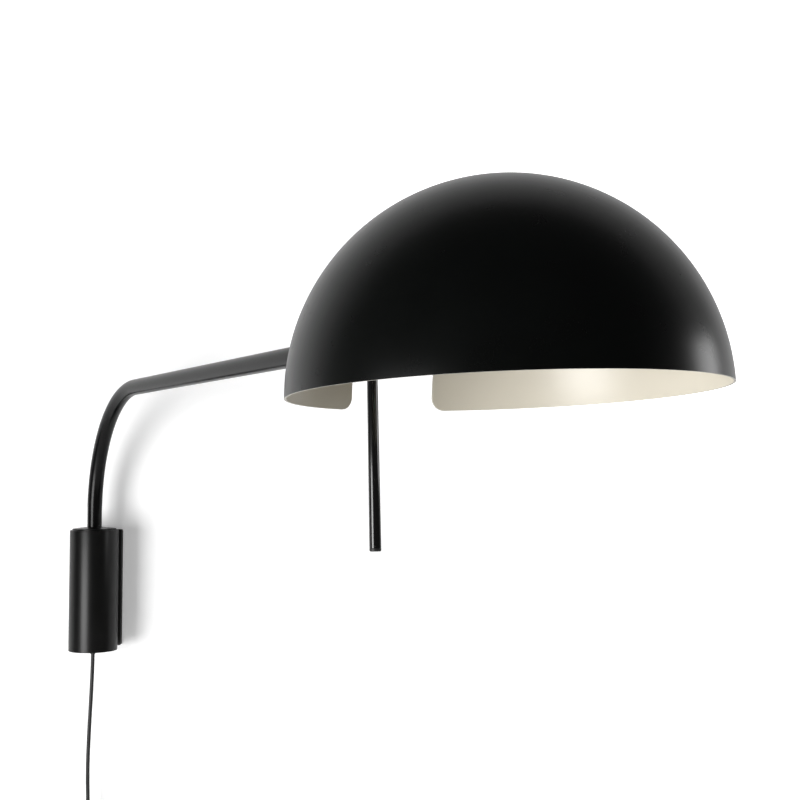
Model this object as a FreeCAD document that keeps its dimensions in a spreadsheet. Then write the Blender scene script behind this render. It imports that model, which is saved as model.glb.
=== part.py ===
"""Swing-arm wall light: a bent tube arm turns in a wall bracket and carries a tilting dome shade.

Row frame, millimetres: the wall is the plane y = 0, +Z is up, +X is to the right seen from
the room, and the origin is the middle of the wall plate's back.
Local frames used below:
  bracket  the vertical pivot axis, level with the middle of the wall plate
  arm      the same point, with local X pointing outward along the arm
  head     the tilt pin, with local X pointing outward along the lampholder
The supply cord and its plug are drawn straight in the row frame.
"""
import FreeCAD, Part
import math
import os
import re
import Sketcher

Vector = FreeCAD.Vector
Rotation = FreeCAD.Rotation
Placement = FreeCAD.Placement

doc = FreeCAD.newDocument("swing_arm_wall_light")

SIZES = {
    # wall bracket
    "axis_out": 43.0,              # wall to the pivot axis
    "plate_width": 56.0,
    "plate_depth": 8.0,
    "plate_skin": 1.6,
    "plate_corner": 2.5,
    "sleeve_dia": 62.4,
    "sleeve_height": 156.0,
    "sleeve_wall": 2.0,
    "plate_inset": 0.8,            # plate's ends short of the sleeve's
    "strap_width": 30.0,
    "strap_thick": 2.0,
    "strap_end_gap": 0.4,
    "wall_hole_spacing": 100.0,
    "wall_hole_dia": 5.2,
    "lug_screw_dia": 3.0,
    "lug_screw_head_dia": 5.2,
    "lug_screw_head": 1.4,
    "standoff_width": 24.0,
    "standoff_height": 16.0,
    "standoff_pitch": 84.0,
    "fixing_dia": 5.0,
    "fixing_head_dia": 9.0,
    "fixing_head": 2.6,
    "fixing_length": 20.0,
    # pivot
    "journal_dia": 20.0,
    "bush_wall": 2.5,
    "bush_length": 18.0,
    "bush_flange_dia": 34.0,
    "bush_flange": 2.0,
    "housing_top_drop": 10.5,      # sleeve top down to the bearing housing
    "housing_foot_rise": 27.5,     # sleeve foot up to the bearing housing
    "flange_dia": 38.0,
    "flange_thick": 4.0,
    "washer_dia": 34.0,
    "washer_thick": 1.2,
    "nut_across_flats": 30.0,
    "nut_thick": 8.0,
    "thread_tail": 2.0,
    "socket_depth": 24.0,          # spigot up inside the arm tube
    "cap_dia": 56.2,
    "cap_lip": 2.0,                # edge of the top cap above the sleeve
    "cap_rise": 2.2,               # further rise of its cone to the tube
    "cap_skin": 2.4,
    "cap_hub_dia": 24.0,
    "bottom_cap_thick": 3.0,
    "bottom_cap_spigot": 7.0,
    "bottom_cap_wall": 2.0,
    "gland_dia": 7.4,
    "gland_drop": 5.0,
    "gland_nut_across_flats": 13.0,
    "gland_nut_thick": 3.5,
    # arm
    "arm_yaw": 31.4,               # from the wall's normal, as photographed
    "tube_dia": 19.0,
    "tube_neck_dia": 18.5,
    "tube_bore_dia": 15.0,
    "neck_height": 22.0,           # narrow foot of the tube, above the sleeve
    "neck_blend": 14.0,
    "bend_radius": 155.0,
    "arm_rise": 178.5,             # sleeve top to the arm's axis
    "pin_reach": 808.0,            # pivot axis to the tilt pin
    "handle_inset": 79.5,          # tilt pin back to the handle
    "handle_lean": 1.9,
    "handle_length": 168.0,        # below the arm's axis, along the rod
    "handle_top_dia": 8.7,
    "handle_foot_dia": 9.6,
    "handle_cap_length": 2.6,
    "handle_screw_dia": 4.0,
    "collar_length": 14.0,
    "collar_dia": 23.0,
    "collar_boss_dia": 12.0,
    "collar_boss_drop": 15.5,
    "cable_dia": 5.0,
    # tilt knuckle
    "fork_length": 13.0,           # tube end to the pin
    "fork_dia": 19.0,
    "fork_plug_length": 22.0,
    "ear_flat": 1.6,               # depth of the flats for the pin's head and nut
    "tongue_thick": 6.0,
    "tongue_gap": 0.4,
    "pin_dia": 5.0,
    "pin_head_dia": 9.0,
    "pin_head": 2.4,
    "pin_nut_across_flats": 8.0,
    "pin_nut": 4.0,
    # lampholder and bulb
    "cup_start": 15.0,             # pin to the back of the cup
    "cup_length": 52.0,
    "cup_dia": 46.0,
    "cup_wall": 1.5,
    "cup_back": 4.0,
    "holder_dia": 39.0,
    "holder_length": 46.0,
    "holder_ring_dia": 42.4,
    "holder_ring": 5.0,
    "holder_bore_dia": 28.0,
    "holder_floor": 14.0,
    "contact_dia": 6.0,
    "contact_height": 2.0,
    "lamp_cap_dia": 26.4,
    "lamp_cap_length": 27.0,
    "lamp_tip_length": 3.0,
    "bulb_dia": 60.0,
    "bulb_neck_dia": 27.0,
    "bulb_length": 72.0,           # glass beyond the lamp cap
    "bulb_blend": 32.0,            # latitude where the neck meets the ball
    # shade
    "shade_radius": 150.0,
    "shade_skin": 1.5,
    "rim_rise": 2.9,               # rim plane above the sphere's centre
    "shade_reach": 99.3,           # tilt pin to the shade's axis
    "shade_drop": 58.6,            # tilt pin to the sphere's centre
    "head_tilt": 1.9,              # outer side raised, as photographed
    "head_roll": 0.9,              # fork's turn in the tube, as photographed
    "shade_turn": 1.2,             # shade's turn on its stud, as photographed
    "slot_width": 74.0,
    "slot_top": 88.0,              # above the sphere's centre
    "slot_top_corner": 26.0,
    "slot_foot_corner": 10.0,
    "stud_dia": 8.0,
    "stud_base_dia": 30.0,
    "stud_base": 2.5,
    "stud_length": 34.0,
    "stud_nut_across_flats": 13.0,
    "stud_nut": 5.0,
    "bridge_width": 18.0,
    "bridge_thick": 3.0,
    "bridge_drop": 22.0,           # inside of the crown to the bridge's top
    "bridge_bend": 6.0,
    "bridge_leg_reach": 32.0,      # tilt pin to the middle of the bridge's leg
    "bridge_foot_length": 22.0,
    "bridge_screw_dia": 4.0,
    "bridge_screw_head_dia": 7.0,
    "bridge_screw_head": 2.2,
    "bridge_screw_pitch": 12.0,
    # mains cord
    "cord_dia": 5.0,
    "coil_turn_pitch": 5.5,
    "coil_layer_pitch": 5.5,
    "coil_outer_radius": 33.0,
    "coil_side_x": -8.0,           # where the cord joins and leaves the coil
    "coil_side_z": -338.0,
    "tie_height": 12.0,
    "tie_thick": 1.2,
    "tail_length": 62.0,
    "plug_width": 35.0,
    "plug_thick": 13.6,
    "plug_length": 33.0,
    "plug_nose_width": 27.0,
    "plug_boot_dia": 9.0,
    "plug_boot_length": 14.0,
    "plug_pin_dia": 4.0,
    "plug_pin_length": 19.0,
    "plug_pin_pitch": 18.6,
    # clearances
    "running_gap": 0.05,           # shaft in its bush, radial
    "seat_gap": 0.05,              # piece seated in a bore, radial
    "hole_gap": 0.15,              # screw in its clearance hole, radial
    "end_float": 0.1,              # axial play between turning faces
    "cord_gap": 0.3,               # cord to what it passes through or under
}

sheet = doc.addObject("Spreadsheet::Sheet", "Sizes")
for row, (alias, value) in enumerate(SIZES.items(), start=1):
    sheet.set("A%d" % row, alias)
    sheet.set("B%d" % row, "%g" % value)
    sheet.setAlias("B%d" % row, alias)
doc.recompute()


def size(alias):
    """The sheet's value of one driving dimension."""
    return float(sheet.get(alias))


def bound(expression):
    """Write the sheet's name in front of every alias of an expression."""
    return re.sub("[a-z_]+", lambda word: "Sizes." + word[0] if word[0] in SIZES else word[0], expression)


def new_body(label):
    body = doc.addObject("PartDesign::Body", label + "_body")
    body.Label = label
    return body


def plane(body, role):
    return next(item for item in body.Origin.OriginFeatures if item.Role == role)


def new_sketch(body, role, offset="0"):
    """A sketch on an origin plane, moved along the plane's normal by an expression."""
    sketch = body.newObject("Sketcher::SketchObject", body.Label + "_sketch")
    sketch.AttachmentSupport = [(plane(body, role), "")]
    sketch.MapMode = "FlatFace"
    if offset != "0":
        sketch.setExpression("AttachmentOffset.Base.z", bound(offset))
    return sketch


def pin_down(sketch, geometry, point, across, up):
    """Fix one point of a sketch at two expressions, measured from the sketch's origin."""
    if across == "0":
        sketch.addConstraint(Sketcher.Constraint("PointOnObject", geometry, point, -2))
    else:
        index = sketch.addConstraint(
            Sketcher.Constraint("DistanceX", -1, 1, geometry, point, 1.0))
        sketch.setExpression("Constraints[%d]" % index, bound(across))
    if up == "0":
        sketch.addConstraint(Sketcher.Constraint("PointOnObject", geometry, point, -1))
    else:
        index = sketch.addConstraint(
            Sketcher.Constraint("DistanceY", -1, 1, geometry, point, 1.0))
        sketch.setExpression("Constraints[%d]" % index, bound(up))


def draw_outline(sketch, points):
    """A closed outline of straight lines through points given as pairs of expressions."""
    count = len(points)
    ring = [Vector(10 * math.cos(2 * math.pi * i / count), 10 * math.sin(2 * math.pi * i / count), 0)
            for i in range(count)]
    for i in range(count):
        sketch.addGeometry(Part.LineSegment(ring[i], ring[(i + 1) % count]), False)
    for i in range(count):
        sketch.addConstraint(Sketcher.Constraint("Coincident", i, 2, (i + 1) % count, 1))
    for i, (across, up) in enumerate(points):
        pin_down(sketch, i, 1, across, up)


def draw_circle(sketch, across, up, diameter):
    index = sketch.addGeometry(Part.Circle(Vector(0, 0, 0), Vector(0, 0, 1), 1.0), False)
    pin_down(sketch, index, 3, across, up)
    constraint = sketch.addConstraint(Sketcher.Constraint("Diameter", index, 2.0))
    sketch.setExpression("Constraints[%d]" % constraint, bound(diameter))


def rectangle(across, up, width, height):
    """Corner expressions of a rectangle about a middle point."""
    left = "%s - (%s) / 2" % (across, width)
    right = "%s + (%s) / 2" % (across, width)
    low = "%s - (%s) / 2" % (up, height)
    high = "%s + (%s) / 2" % (up, height)
    return [(left, low), (right, low), (right, high), (left, high)]


def revolve(body, sketch):
    sketch.Visibility = False
    feature = body.newObject("PartDesign::Revolution", body.Label + "_turned")
    feature.Profile = sketch
    feature.ReferenceAxis = (sketch, ["V_Axis"])
    feature.Angle = 360
    return feature


def pad(body, sketch, length, midplane=False, backward=False):
    feature = body.newObject("PartDesign::Pad", body.Label + "_pad")
    feature.Profile = sketch
    feature.Midplane = midplane
    feature.Reversed = backward
    feature.setExpression("Length", bound(length))
    return feature


def pocket(body, sketch, length, midplane=False, backward=False):
    """Cut a pocket and make sure that it takes material away."""
    doc.recompute()
    before = body.Shape.Volume
    feature = body.newObject("PartDesign::Pocket", body.Label + "_pocket")
    feature.Profile = sketch
    feature.Midplane = midplane
    feature.Reversed = backward
    feature.setExpression("Length", bound(length))
    doc.recompute()
    if feature.Shape.Volume > before - 1e-3:
        raise RuntimeError("%s: a pocket cut nothing" % body.Label)
    return feature


def turned(label, points):
    """A body revolved about its local Z axis from (radius, height) expressions."""
    body = new_body(label)
    sketch = new_sketch(body, "XZ_Plane")
    draw_outline(sketch, points)
    revolve(body, sketch)
    return body


def tube_points(outer, inner, low, high):
    """Outline of a plain ring or bush for turned()."""
    return [(inner, low), (outer, low), (outer, high), (inner, high)]


def hexagon(sketch, across_flats):
    """A hexagon about the sketch's origin, with flats above and below."""
    corners = []
    for i in range(6):
        turn = 60 * i
        across = "(%s) / sqrt(3) * cos(%d deg)" % (across_flats, turn)
        up = "(%s) / sqrt(3) * sin(%d deg)" % (across_flats, turn) if turn % 180 else "0"
        corners.append((across, up))
    draw_outline(sketch, corners)


def hex_nut(label, across_flats, bore, thickness):
    body = new_body(label)
    sketch = new_sketch(body, "XY_Plane")
    hexagon(sketch, across_flats)
    draw_circle(sketch, "0", "0", bore)
    pad(body, sketch, thickness)
    return body


def moved(shape_object, placement):
    """Give a finished sub-part its place."""
    shape_object.Placement = placement
    return shape_object


def group(label, pieces):
    """Identical fasteners as one node of separate solids."""
    compound = doc.addObject("Part::Compound", label)
    compound.Label = label
    compound.Links = pieces
    return compound


def copies(label, body, placements):
    """Linked copies of one fastener, gathered in one node."""
    body.Label = label + "_piece"
    links = []
    for i, placement in enumerate(placements):
        link = doc.addObject("App::Link", "%s_%d" % (label, i))
        link.LinkedObject = body
        link.LinkTransform = False
        link.Placement = placement
        links.append(link)
    return group(label, links)


# ---------------------------------------------------------------- local frames
ALONG_X = Rotation(Vector(0, 1, 0), 90)          # local Z points along +X
ALONG_BACK = Rotation(Vector(1, 0, 0), -90)      # local Z points along +Y
ALONG_FRONT = Rotation(Vector(1, 0, 0), 90)      # local Z points along -Y
UPSIDE_DOWN = Rotation(Vector(1, 0, 0), 180)

bracket_frame = Placement(Vector(0, -size("axis_out"), 0), Rotation())
arm_frame = Placement(Vector(0, -size("axis_out"), 0),
                      Rotation(Vector(0, 0, 1), size("arm_yaw") - 90))
ARM_HEIGHT = size("sleeve_height") / 2 + size("arm_rise")
pin_frame = arm_frame.multiply(
    Placement(Vector(size("pin_reach"), 0, ARM_HEIGHT), Rotation(Vector(1, 0, 0), size("head_roll"))))
head_frame = pin_frame.multiply(Placement(Vector(), Rotation(Vector(0, 1, 0), -size("head_tilt"))))

# heights measured from the middle of the wall plate, as expressions
SLEEVE_TOP = "sleeve_height / 2"
PLATE_HEIGHT = "( sleeve_height - 2 * plate_inset )"
HOUSING_TOP = "( sleeve_height / 2 - housing_top_drop )"
HOUSING_FOOT = "( housing_foot_rise - sleeve_height / 2 )"
BUSH_TOP = "( sleeve_height / 2 - housing_top_drop + bush_flange )"
BUSH_FOOT = "( housing_foot_rise - sleeve_height / 2 - bush_flange )"
FLANGE_FOOT = "( %s + end_float + washer_thick )" % BUSH_TOP
FLANGE_TOP = "( %s + flange_thick )" % FLANGE_FOOT
AXIS_HEIGHT = "( sleeve_height / 2 + arm_rise )"


# ---------------------------------------------------------------- wall bracket
def make_wall_plate():
    """Shallow tray with its open side to the wall."""
    body = new_body("wall_plate")
    face = new_sketch(body, "XZ_Plane")
    draw_outline(face, rectangle("0", "0", "plate_width", PLATE_HEIGHT))
    pad(body, face, "plate_depth")
    doc.recompute()
    block = body.Tip
    rounded = body.newObject("PartDesign::Fillet", "wall_plate_corners")
    rounded.Base = (block, edge_names(block.Shape, Vector(0, 1, 0)))
    rounded.setExpression("Radius", bound("plate_corner"))
    hollow = new_sketch(body, "XZ_Plane")
    draw_outline(hollow, rectangle("0", "0", "plate_width - 2 * plate_skin",
                                   PLATE_HEIGHT + " - 2 * plate_skin"))
    pocket(body, hollow, "plate_depth - plate_skin", backward=True)
    fixings = new_sketch(body, "XZ_Plane")
    for side in ("-", ""):
        draw_circle(fixings, "0", side + "standoff_pitch / 2", "fixing_dia + 2 * hole_gap")
    pocket(body, fixings, "plate_depth + 1", backward=True)
    lug_holes = new_sketch(body, "XY_Plane")
    draw_circle(lug_holes, "0", "-" + LUG_MIDDLE, "lug_screw_dia + 2 * hole_gap")
    pocket(body, lug_holes, PLATE_HEIGHT + " + 2", midplane=True)
    return body


def edge_names(shape, along):
    """Names of the straight edges that run along a direction."""
    names = []
    for index, edge in enumerate(shape.Edges, start=1):
        if edge.Curve.TypeId != "Part::GeomLine":
            continue
        direction = edge.tangentAt(edge.FirstParameter)
        if abs(abs(direction.dot(along)) - 1) < 1e-6:
            names.append("Edge%d" % index)
    return names


LUG_MIDDLE = "( ( plate_depth - plate_skin + strap_thick ) / 2 )"
STRAP_HALF = "( sleeve_height / 2 - plate_inset - plate_skin - strap_end_gap )"


def make_wall_strap():
    """Bent strip that is screwed to the wall; the tray is held on its two turned ends."""
    body = new_body("wall_strap")
    profile = new_sketch(body, "YZ_Plane")
    lug_depth = "( plate_depth - plate_skin - strap_end_gap )"
    draw_outline(profile, [
        ("0", "-" + STRAP_HALF),
        ("-" + lug_depth, "-" + STRAP_HALF),
        ("-" + lug_depth, "strap_thick - " + STRAP_HALF),
        ("-strap_thick", "strap_thick - " + STRAP_HALF),
        ("-strap_thick", STRAP_HALF + " - strap_thick"),
        ("-" + lug_depth, STRAP_HALF + " - strap_thick"),
        ("-" + lug_depth, STRAP_HALF),
        ("0", STRAP_HALF),
    ])
    pad(body, profile, "strap_width", midplane=True)
    holes = new_sketch(body, "XZ_Plane")
    for side in ("-", ""):
        draw_circle(holes, "0", side + "wall_hole_spacing / 2", "wall_hole_dia")
    pocket(body, holes, "4 * strap_thick", midplane=True)
    threads = new_sketch(body, "XY_Plane")
    draw_circle(threads, "0", "-" + LUG_MIDDLE, "lug_screw_dia + 2 * seat_gap")
    pocket(body, threads, PLATE_HEIGHT + " + 2", midplane=True)
    return body


def pan_screw(label, shank_dia, shank_length, head_dia, head_height):
    """Screw along local Z: the head's seat is at z = 0 and the shank runs to -Z."""
    return turned(label, [
        ("0", "-(%s)" % shank_length),
        ("%s / 2" % shank_dia, "-(%s)" % shank_length),
        ("%s / 2" % shank_dia, "0"),
        ("%s / 2" % head_dia, "0"),
        ("%s / 2" % head_dia, "%s * 0.6" % head_height),
        ("%s * 0.38" % head_dia, head_height),
        ("0", head_height),
    ])


def make_lug_screws():
    screw = pan_screw("lug_screw", "lug_screw_dia", "plate_skin + strap_end_gap + strap_thick + 0.5",
                      "lug_screw_head_dia", "lug_screw_head")
    reach = -(size("plate_depth") - size("plate_skin") + size("strap_thick")) / 2
    half = size("sleeve_height") / 2 - size("plate_inset")
    return copies("lug_screws", screw, [
        Placement(Vector(0, reach, half), Rotation()),
        Placement(Vector(0, reach, -half), UPSIDE_DOWN),
    ])


def make_standoffs():
    """Two blocks that bridge the tray and the round sleeve, hollowed to seat on it."""
    blocks = []
    for i, side in enumerate((-1, 1)):
        body = new_body("standoff_%d" % i)
        outline = new_sketch(body, "XZ_Plane")
        draw_outline(outline, rectangle("0", "0", "standoff_width", "standoff_height"))
        pad(body, outline, "axis_out - plate_depth - sleeve_dia / 4")
        seat = new_sketch(body, "XY_Plane")
        draw_circle(seat, "0", "plate_depth - axis_out", "sleeve_dia + 2 * seat_gap")
        pocket(body, seat, "standoff_height + 2", midplane=True)
        hole = new_sketch(body, "XZ_Plane")
        draw_circle(hole, "0", "0", "fixing_dia + 2 * hole_gap")
        pocket(body, hole, "2 * axis_out", midplane=True)
        place = Placement(Vector(0, -size("plate_depth"), side * size("standoff_pitch") / 2), Rotation())
        blocks.append(moved(body, place))
    return group("standoff_blocks", blocks)


def make_fixing_screws():
    screw = pan_screw("fixing_screw", "fixing_dia", "fixing_length", "fixing_head_dia", "fixing_head")
    seat = -(size("plate_depth") - size("plate_skin"))
    return copies("standoff_screws", screw, [
        Placement(Vector(0, seat, side * size("standoff_pitch") / 2), ALONG_BACK) for side in (-1, 1)])


def make_sleeve():
    body = turned("bracket_sleeve", tube_points("sleeve_dia / 2", "sleeve_dia / 2 - sleeve_wall",
                                                "-sleeve_height / 2", SLEEVE_TOP))
    holes = new_sketch(body, "XZ_Plane")
    for side in ("-", ""):
        draw_circle(holes, "0", side + "standoff_pitch / 2", "fixing_dia + 2 * hole_gap")
    pocket(body, holes, "sleeve_dia", backward=False)
    return moved(body, bracket_frame)


def make_bearing_housing():
    """Turned block that fills the sleeve, bored for the spigot and stepped for the bushes."""
    outer = "sleeve_dia / 2 - sleeve_wall - seat_gap"
    seat = "journal_dia / 2 + bush_wall + seat_gap"
    relief = "journal_dia / 2 + 1"
    body = turned("bearing_housing", [
        (seat, HOUSING_FOOT), (outer, HOUSING_FOOT), (outer, HOUSING_TOP), (seat, HOUSING_TOP),
        (seat, HOUSING_TOP + " - bush_length - seat_gap"), (relief, HOUSING_TOP + " - bush_length - seat_gap"),
        (relief, HOUSING_FOOT + " + bush_length + seat_gap"), (seat, HOUSING_FOOT + " + bush_length + seat_gap"),
    ])
    threads = new_sketch(body, "XZ_Plane", "-(sleeve_dia / 2)")
    for side in ("-", ""):
        draw_circle(threads, "0", side + "standoff_pitch / 2", "fixing_dia + 2 * seat_gap")
    pocket(body, threads, "fixing_length + plate_depth - plate_skin - axis_out + sleeve_dia / 2 + thread_tail",
           backward=True)
    return moved(body, bracket_frame)


def make_bush(label, top):
    """Flanged plain bearing; the flange of the lower one points down."""
    outer = "journal_dia / 2 + bush_wall"
    inner = "journal_dia / 2 + running_gap"
    if top:
        points = [(inner, HOUSING_TOP + " - bush_length"), (outer, HOUSING_TOP + " - bush_length"),
                  (outer, HOUSING_TOP), ("bush_flange_dia / 2", HOUSING_TOP),
                  ("bush_flange_dia / 2", BUSH_TOP), (inner, BUSH_TOP)]
    else:
        points = [(inner, BUSH_FOOT), ("bush_flange_dia / 2", BUSH_FOOT),
                  ("bush_flange_dia / 2", HOUSING_FOOT), (outer, HOUSING_FOOT),
                  (outer, HOUSING_FOOT + " + bush_length"), (inner, HOUSING_FOOT + " + bush_length")]
    return moved(turned(label, points), bracket_frame)


def make_bottom_cap():
    """Closing disc with a ring that seats inside the sleeve and a hole for the cord gland."""
    foot = "-sleeve_height / 2"
    bore = "gland_dia / 2 - 1"
    ring_outer = "sleeve_dia / 2 - sleeve_wall - seat_gap"
    ring_inner = "sleeve_dia / 2 - sleeve_wall - seat_gap - bottom_cap_wall"
    body = turned("bottom_cap", [
        (bore, foot), (ring_outer, foot),
        (ring_outer, foot + " + bottom_cap_spigot"), (ring_inner, foot + " + bottom_cap_spigot"),
        (ring_inner, foot + " + bottom_cap_thick"), (bore, foot + " + bottom_cap_thick"),
    ])
    return moved(body, bracket_frame)


def make_cord_gland():
    """Strain relief: a tapered nose below the cap and a threaded neck through it."""
    foot = "-sleeve_height / 2"
    bore = "cord_dia / 2 + seat_gap"
    neck = "gland_dia / 2 - 1 - seat_gap"
    return moved(turned("cord_gland", [
        (bore, foot + " - gland_drop"), ("gland_dia / 2 - 0.5", foot + " - gland_drop"),
        ("gland_dia / 2", foot + " - gland_drop / 2"), ("gland_dia / 2", foot), (neck, foot),
        (neck, foot + " + bottom_cap_thick + gland_nut_thick + 1"),
        (bore, foot + " + bottom_cap_thick + gland_nut_thick + 1"),
    ]), bracket_frame)


def make_gland_nut():
    nut = hex_nut("gland_nut", "gland_nut_across_flats", "gland_dia - 2", "gland_nut_thick")
    lift = Placement(Vector(0, 0, size("bottom_cap_thick") - size("sleeve_height") / 2), Rotation())
    return moved(nut, bracket_frame.multiply(lift))


# ---------------------------------------------------------------- pivot and arm
def make_pivot_spigot():
    """Hollow shaft: a journal in the two bushes, a flange, and a neck inside the arm tube."""
    bore = "cable_dia / 2 + cord_gap"
    journal = "journal_dia / 2"
    neck = "tube_bore_dia / 2 - seat_gap"
    tail = "( %s - end_float - washer_thick - nut_thick - thread_tail )" % BUSH_FOOT
    return moved(turned("pivot_spigot", [
        (bore, tail), (journal + " - 0.6", tail), (journal, tail + " + 0.6"), (journal, FLANGE_FOOT),
        ("flange_dia / 2", FLANGE_FOOT), ("flange_dia / 2", FLANGE_TOP), (neck, FLANGE_TOP),
        (neck, FLANGE_TOP + " + socket_depth"), (bore, FLANGE_TOP + " + socket_depth"),
    ]), arm_frame)


def make_friction_washer(label, foot):
    return moved(turned(label, tube_points("washer_dia / 2", "journal_dia / 2 + seat_gap",
                                           foot, foot + " + washer_thick")), arm_frame)


def make_pivot_nut():
    nut = hex_nut("pivot_nut", "nut_across_flats", "journal_dia + 2 * seat_gap", "nut_thick")
    foot = (size("housing_foot_rise") - size("sleeve_height") / 2 - size("bush_flange")
            - size("end_float") - size("washer_thick") - size("nut_thick"))
    return moved(nut, arm_frame.multiply(Placement(Vector(0, 0, foot), Rotation())))


def make_top_cap():
    """Shallow cone that turns with the arm and closes the sleeve."""
    hole = "tube_neck_dia / 2 + seat_gap"
    lip = "sleeve_height / 2 + cap_lip"
    return moved(turned("top_cap", [
        (hole, FLANGE_TOP), ("cap_hub_dia / 2", FLANGE_TOP),
        ("cap_hub_dia / 2", lip + " - cap_skin + cap_rise * 0.6"),
        ("cap_dia / 2 - cap_skin", lip + " - cap_skin"),
        ("cap_dia / 2 - cap_skin", FLANGE_TOP), ("cap_dia / 2", FLANGE_TOP),
        ("cap_dia / 2", lip + " - 0.5"), ("cap_dia / 2 - 0.5", lip),
        (hole, lip + " + cap_rise"),
    ]), arm_frame)


def bent_path(body, start, end):
    """Sketch of the arm's centre line: upright, quarter bend, level."""
    sketch = new_sketch(body, "XZ_Plane")
    bend = size("bend_radius")
    level = ARM_HEIGHT
    foot = level - bend
    rise = sketch.addGeometry(Part.LineSegment(Vector(0, foot - bend, 0), Vector(0, foot, 0)), False)
    arc = sketch.addGeometry(Part.ArcOfCircle(
        Part.Circle(Vector(bend, foot, 0), Vector(0, 0, 1), bend), math.pi / 2, math.pi), False)
    run = sketch.addGeometry(Part.LineSegment(Vector(bend, level, 0), Vector(2 * bend, level, 0)), False)
    sketch.addConstraint(Sketcher.Constraint("Coincident", rise, 2, arc, 2))
    sketch.addConstraint(Sketcher.Constraint("Coincident", run, 1, arc, 1))
    pin_down(sketch, rise, 1, "0", start)
    pin_down(sketch, rise, 2, "0", AXIS_HEIGHT + " - bend_radius")
    pin_down(sketch, arc, 3, "bend_radius", AXIS_HEIGHT + " - bend_radius")
    sketch.addConstraint(Sketcher.Constraint("Vertical", arc, 3, run, 1))
    pin_down(sketch, run, 2, end, AXIS_HEIGHT)
    return sketch


def pipe(body, path, start, diameter, kind):
    """Sweep a circle, drawn square to the path's foot, along the path."""
    profile = new_sketch(body, "XY_Plane", start)
    draw_circle(profile, "0", "0", diameter)
    feature = body.newObject("PartDesign::" + kind, body.Label + "_" + kind.lower())
    feature.Profile = profile
    feature.Spine = path
    doc.recompute()
    return feature


def make_arm_tube():
    """Bent tube with a swaged, narrower foot."""
    body = new_body("arm_tube")
    end = "pin_reach - fork_length"
    path = bent_path(body, FLANGE_TOP, end)
    pipe(body, path, FLANGE_TOP, "tube_dia", "AdditivePipe")
    pipe(body, path, FLANGE_TOP, "tube_bore_dia", "SubtractivePipe")
    swage = new_sketch(body, "XZ_Plane")
    blend_foot = "sleeve_height / 2 + neck_height"
    draw_outline(swage, [
        ("tube_neck_dia / 2", FLANGE_TOP + " - 1"), ("tube_dia", FLANGE_TOP + " - 1"),
        ("tube_dia", blend_foot + " + neck_blend"), ("tube_dia / 2", blend_foot + " + neck_blend"),
        ("tube_neck_dia / 2", blend_foot),
    ])
    groove = body.newObject("PartDesign::Groove", "arm_tube_swage")
    groove.Profile = swage
    groove.ReferenceAxis = (swage, ["V_Axis"])
    groove.Angle = 360
    return moved(body, arm_frame)


def make_arm_cable():
    """Inner cable from the pivot's foot to the lampholder end of the arm."""
    body = new_body("arm_cable")
    foot = "( %s - end_float - washer_thick - nut_thick )" % BUSH_FOOT
    path = bent_path(body, foot, "pin_reach - fork_length - fork_plug_length - 4")
    pipe(body, path, foot, "cable_dia", "AdditivePipe")
    return moved(body, arm_frame)


def cylinder(name, diameter, length, start="0", placement=Placement()):
    """A plain cylinder along the placement's Z axis, starting at an expression."""
    piece = doc.addObject("Part::Cylinder", name)
    piece.setExpression("Radius", bound("(%s) / 2" % diameter))
    piece.setExpression("Height", bound(length))
    step = doc.addObject("Part::Compound", name + "_step")
    step.Links = [piece]
    piece.setExpression("Placement.Base.z", bound(start))
    step.Placement = placement
    return step


def boolean(kind, name, base, tool):
    result = doc.addObject("Part::" + kind, name)
    result.Base = base
    result.Tool = tool
    return result


HANDLE_LEAN = Rotation(Vector(0, 1, 0), -size("handle_lean"))
handle_frame = arm_frame.multiply(
    Placement(Vector(size("pin_reach") - size("handle_inset"), 0, ARM_HEIGHT), HANDLE_LEAN))


def make_handle_collar():
    """Ring on the tube with a boss below it, leaning with the handle that it carries."""
    along = Placement(Vector(), ALONG_X)
    down = Placement(Vector(), HANDLE_LEAN.multiply(UPSIDE_DOWN))
    ring = cylinder("collar_ring", "collar_dia", "collar_length", "-collar_length / 2", along)
    boss = cylinder("collar_boss", "collar_boss_dia", "collar_boss_drop", "0", down)
    bore = cylinder("collar_bore", "tube_dia + 2 * seat_gap", "2 * collar_length", "-collar_length", along)
    thread = cylinder("collar_thread", "handle_screw_dia + 2 * seat_gap", "2 * collar_boss_drop", "0", down)
    solid = boolean("Fuse", "collar_solid", ring, boss)
    bored = boolean("Cut", "collar_bored", solid, bore)
    collar = boolean("Cut", "handle_collar", bored, thread)
    return moved(collar, handle_frame.multiply(Placement(Vector(), HANDLE_LEAN.inverted())))


def make_handle_rod():
    """Slightly tapered round rod with a blind thread in its top."""
    top = "-(collar_boss_drop)"
    foot = "handle_cap_length - handle_length"
    hole = "handle_screw_dia / 2 + seat_gap"
    return moved(turned("handle_rod", [
        ("0", foot), ("handle_foot_dia / 2", foot), ("handle_top_dia / 2", top),
        (hole, top), (hole, top + " - 2.5 * handle_screw_dia"), ("0", top + " - 2.5 * handle_screw_dia"),
    ]), handle_frame)


def make_handle_stud():
    """Headless screw that joins the rod to the collar's boss."""
    top = "-(tube_dia / 2 + 0.4)"
    foot = "-(collar_boss_drop + 2.5 * handle_screw_dia - 0.5)"
    return moved(turned("handle_stud", [
        ("0", foot), ("handle_screw_dia / 2", foot), ("handle_screw_dia / 2", top), ("0", top),
    ]), handle_frame)


def make_handle_cap():
    """Dark end cap under the rod."""
    foot = "-handle_length"
    seat = "handle_cap_length - handle_length"
    return moved(turned("handle_end_cap", [
        ("0", foot), ("handle_foot_dia / 2 - 0.6", foot), ("handle_foot_dia / 2", foot + " + 0.6"),
        ("handle_foot_dia / 2", seat), ("0", seat),
    ]), handle_frame)


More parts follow.
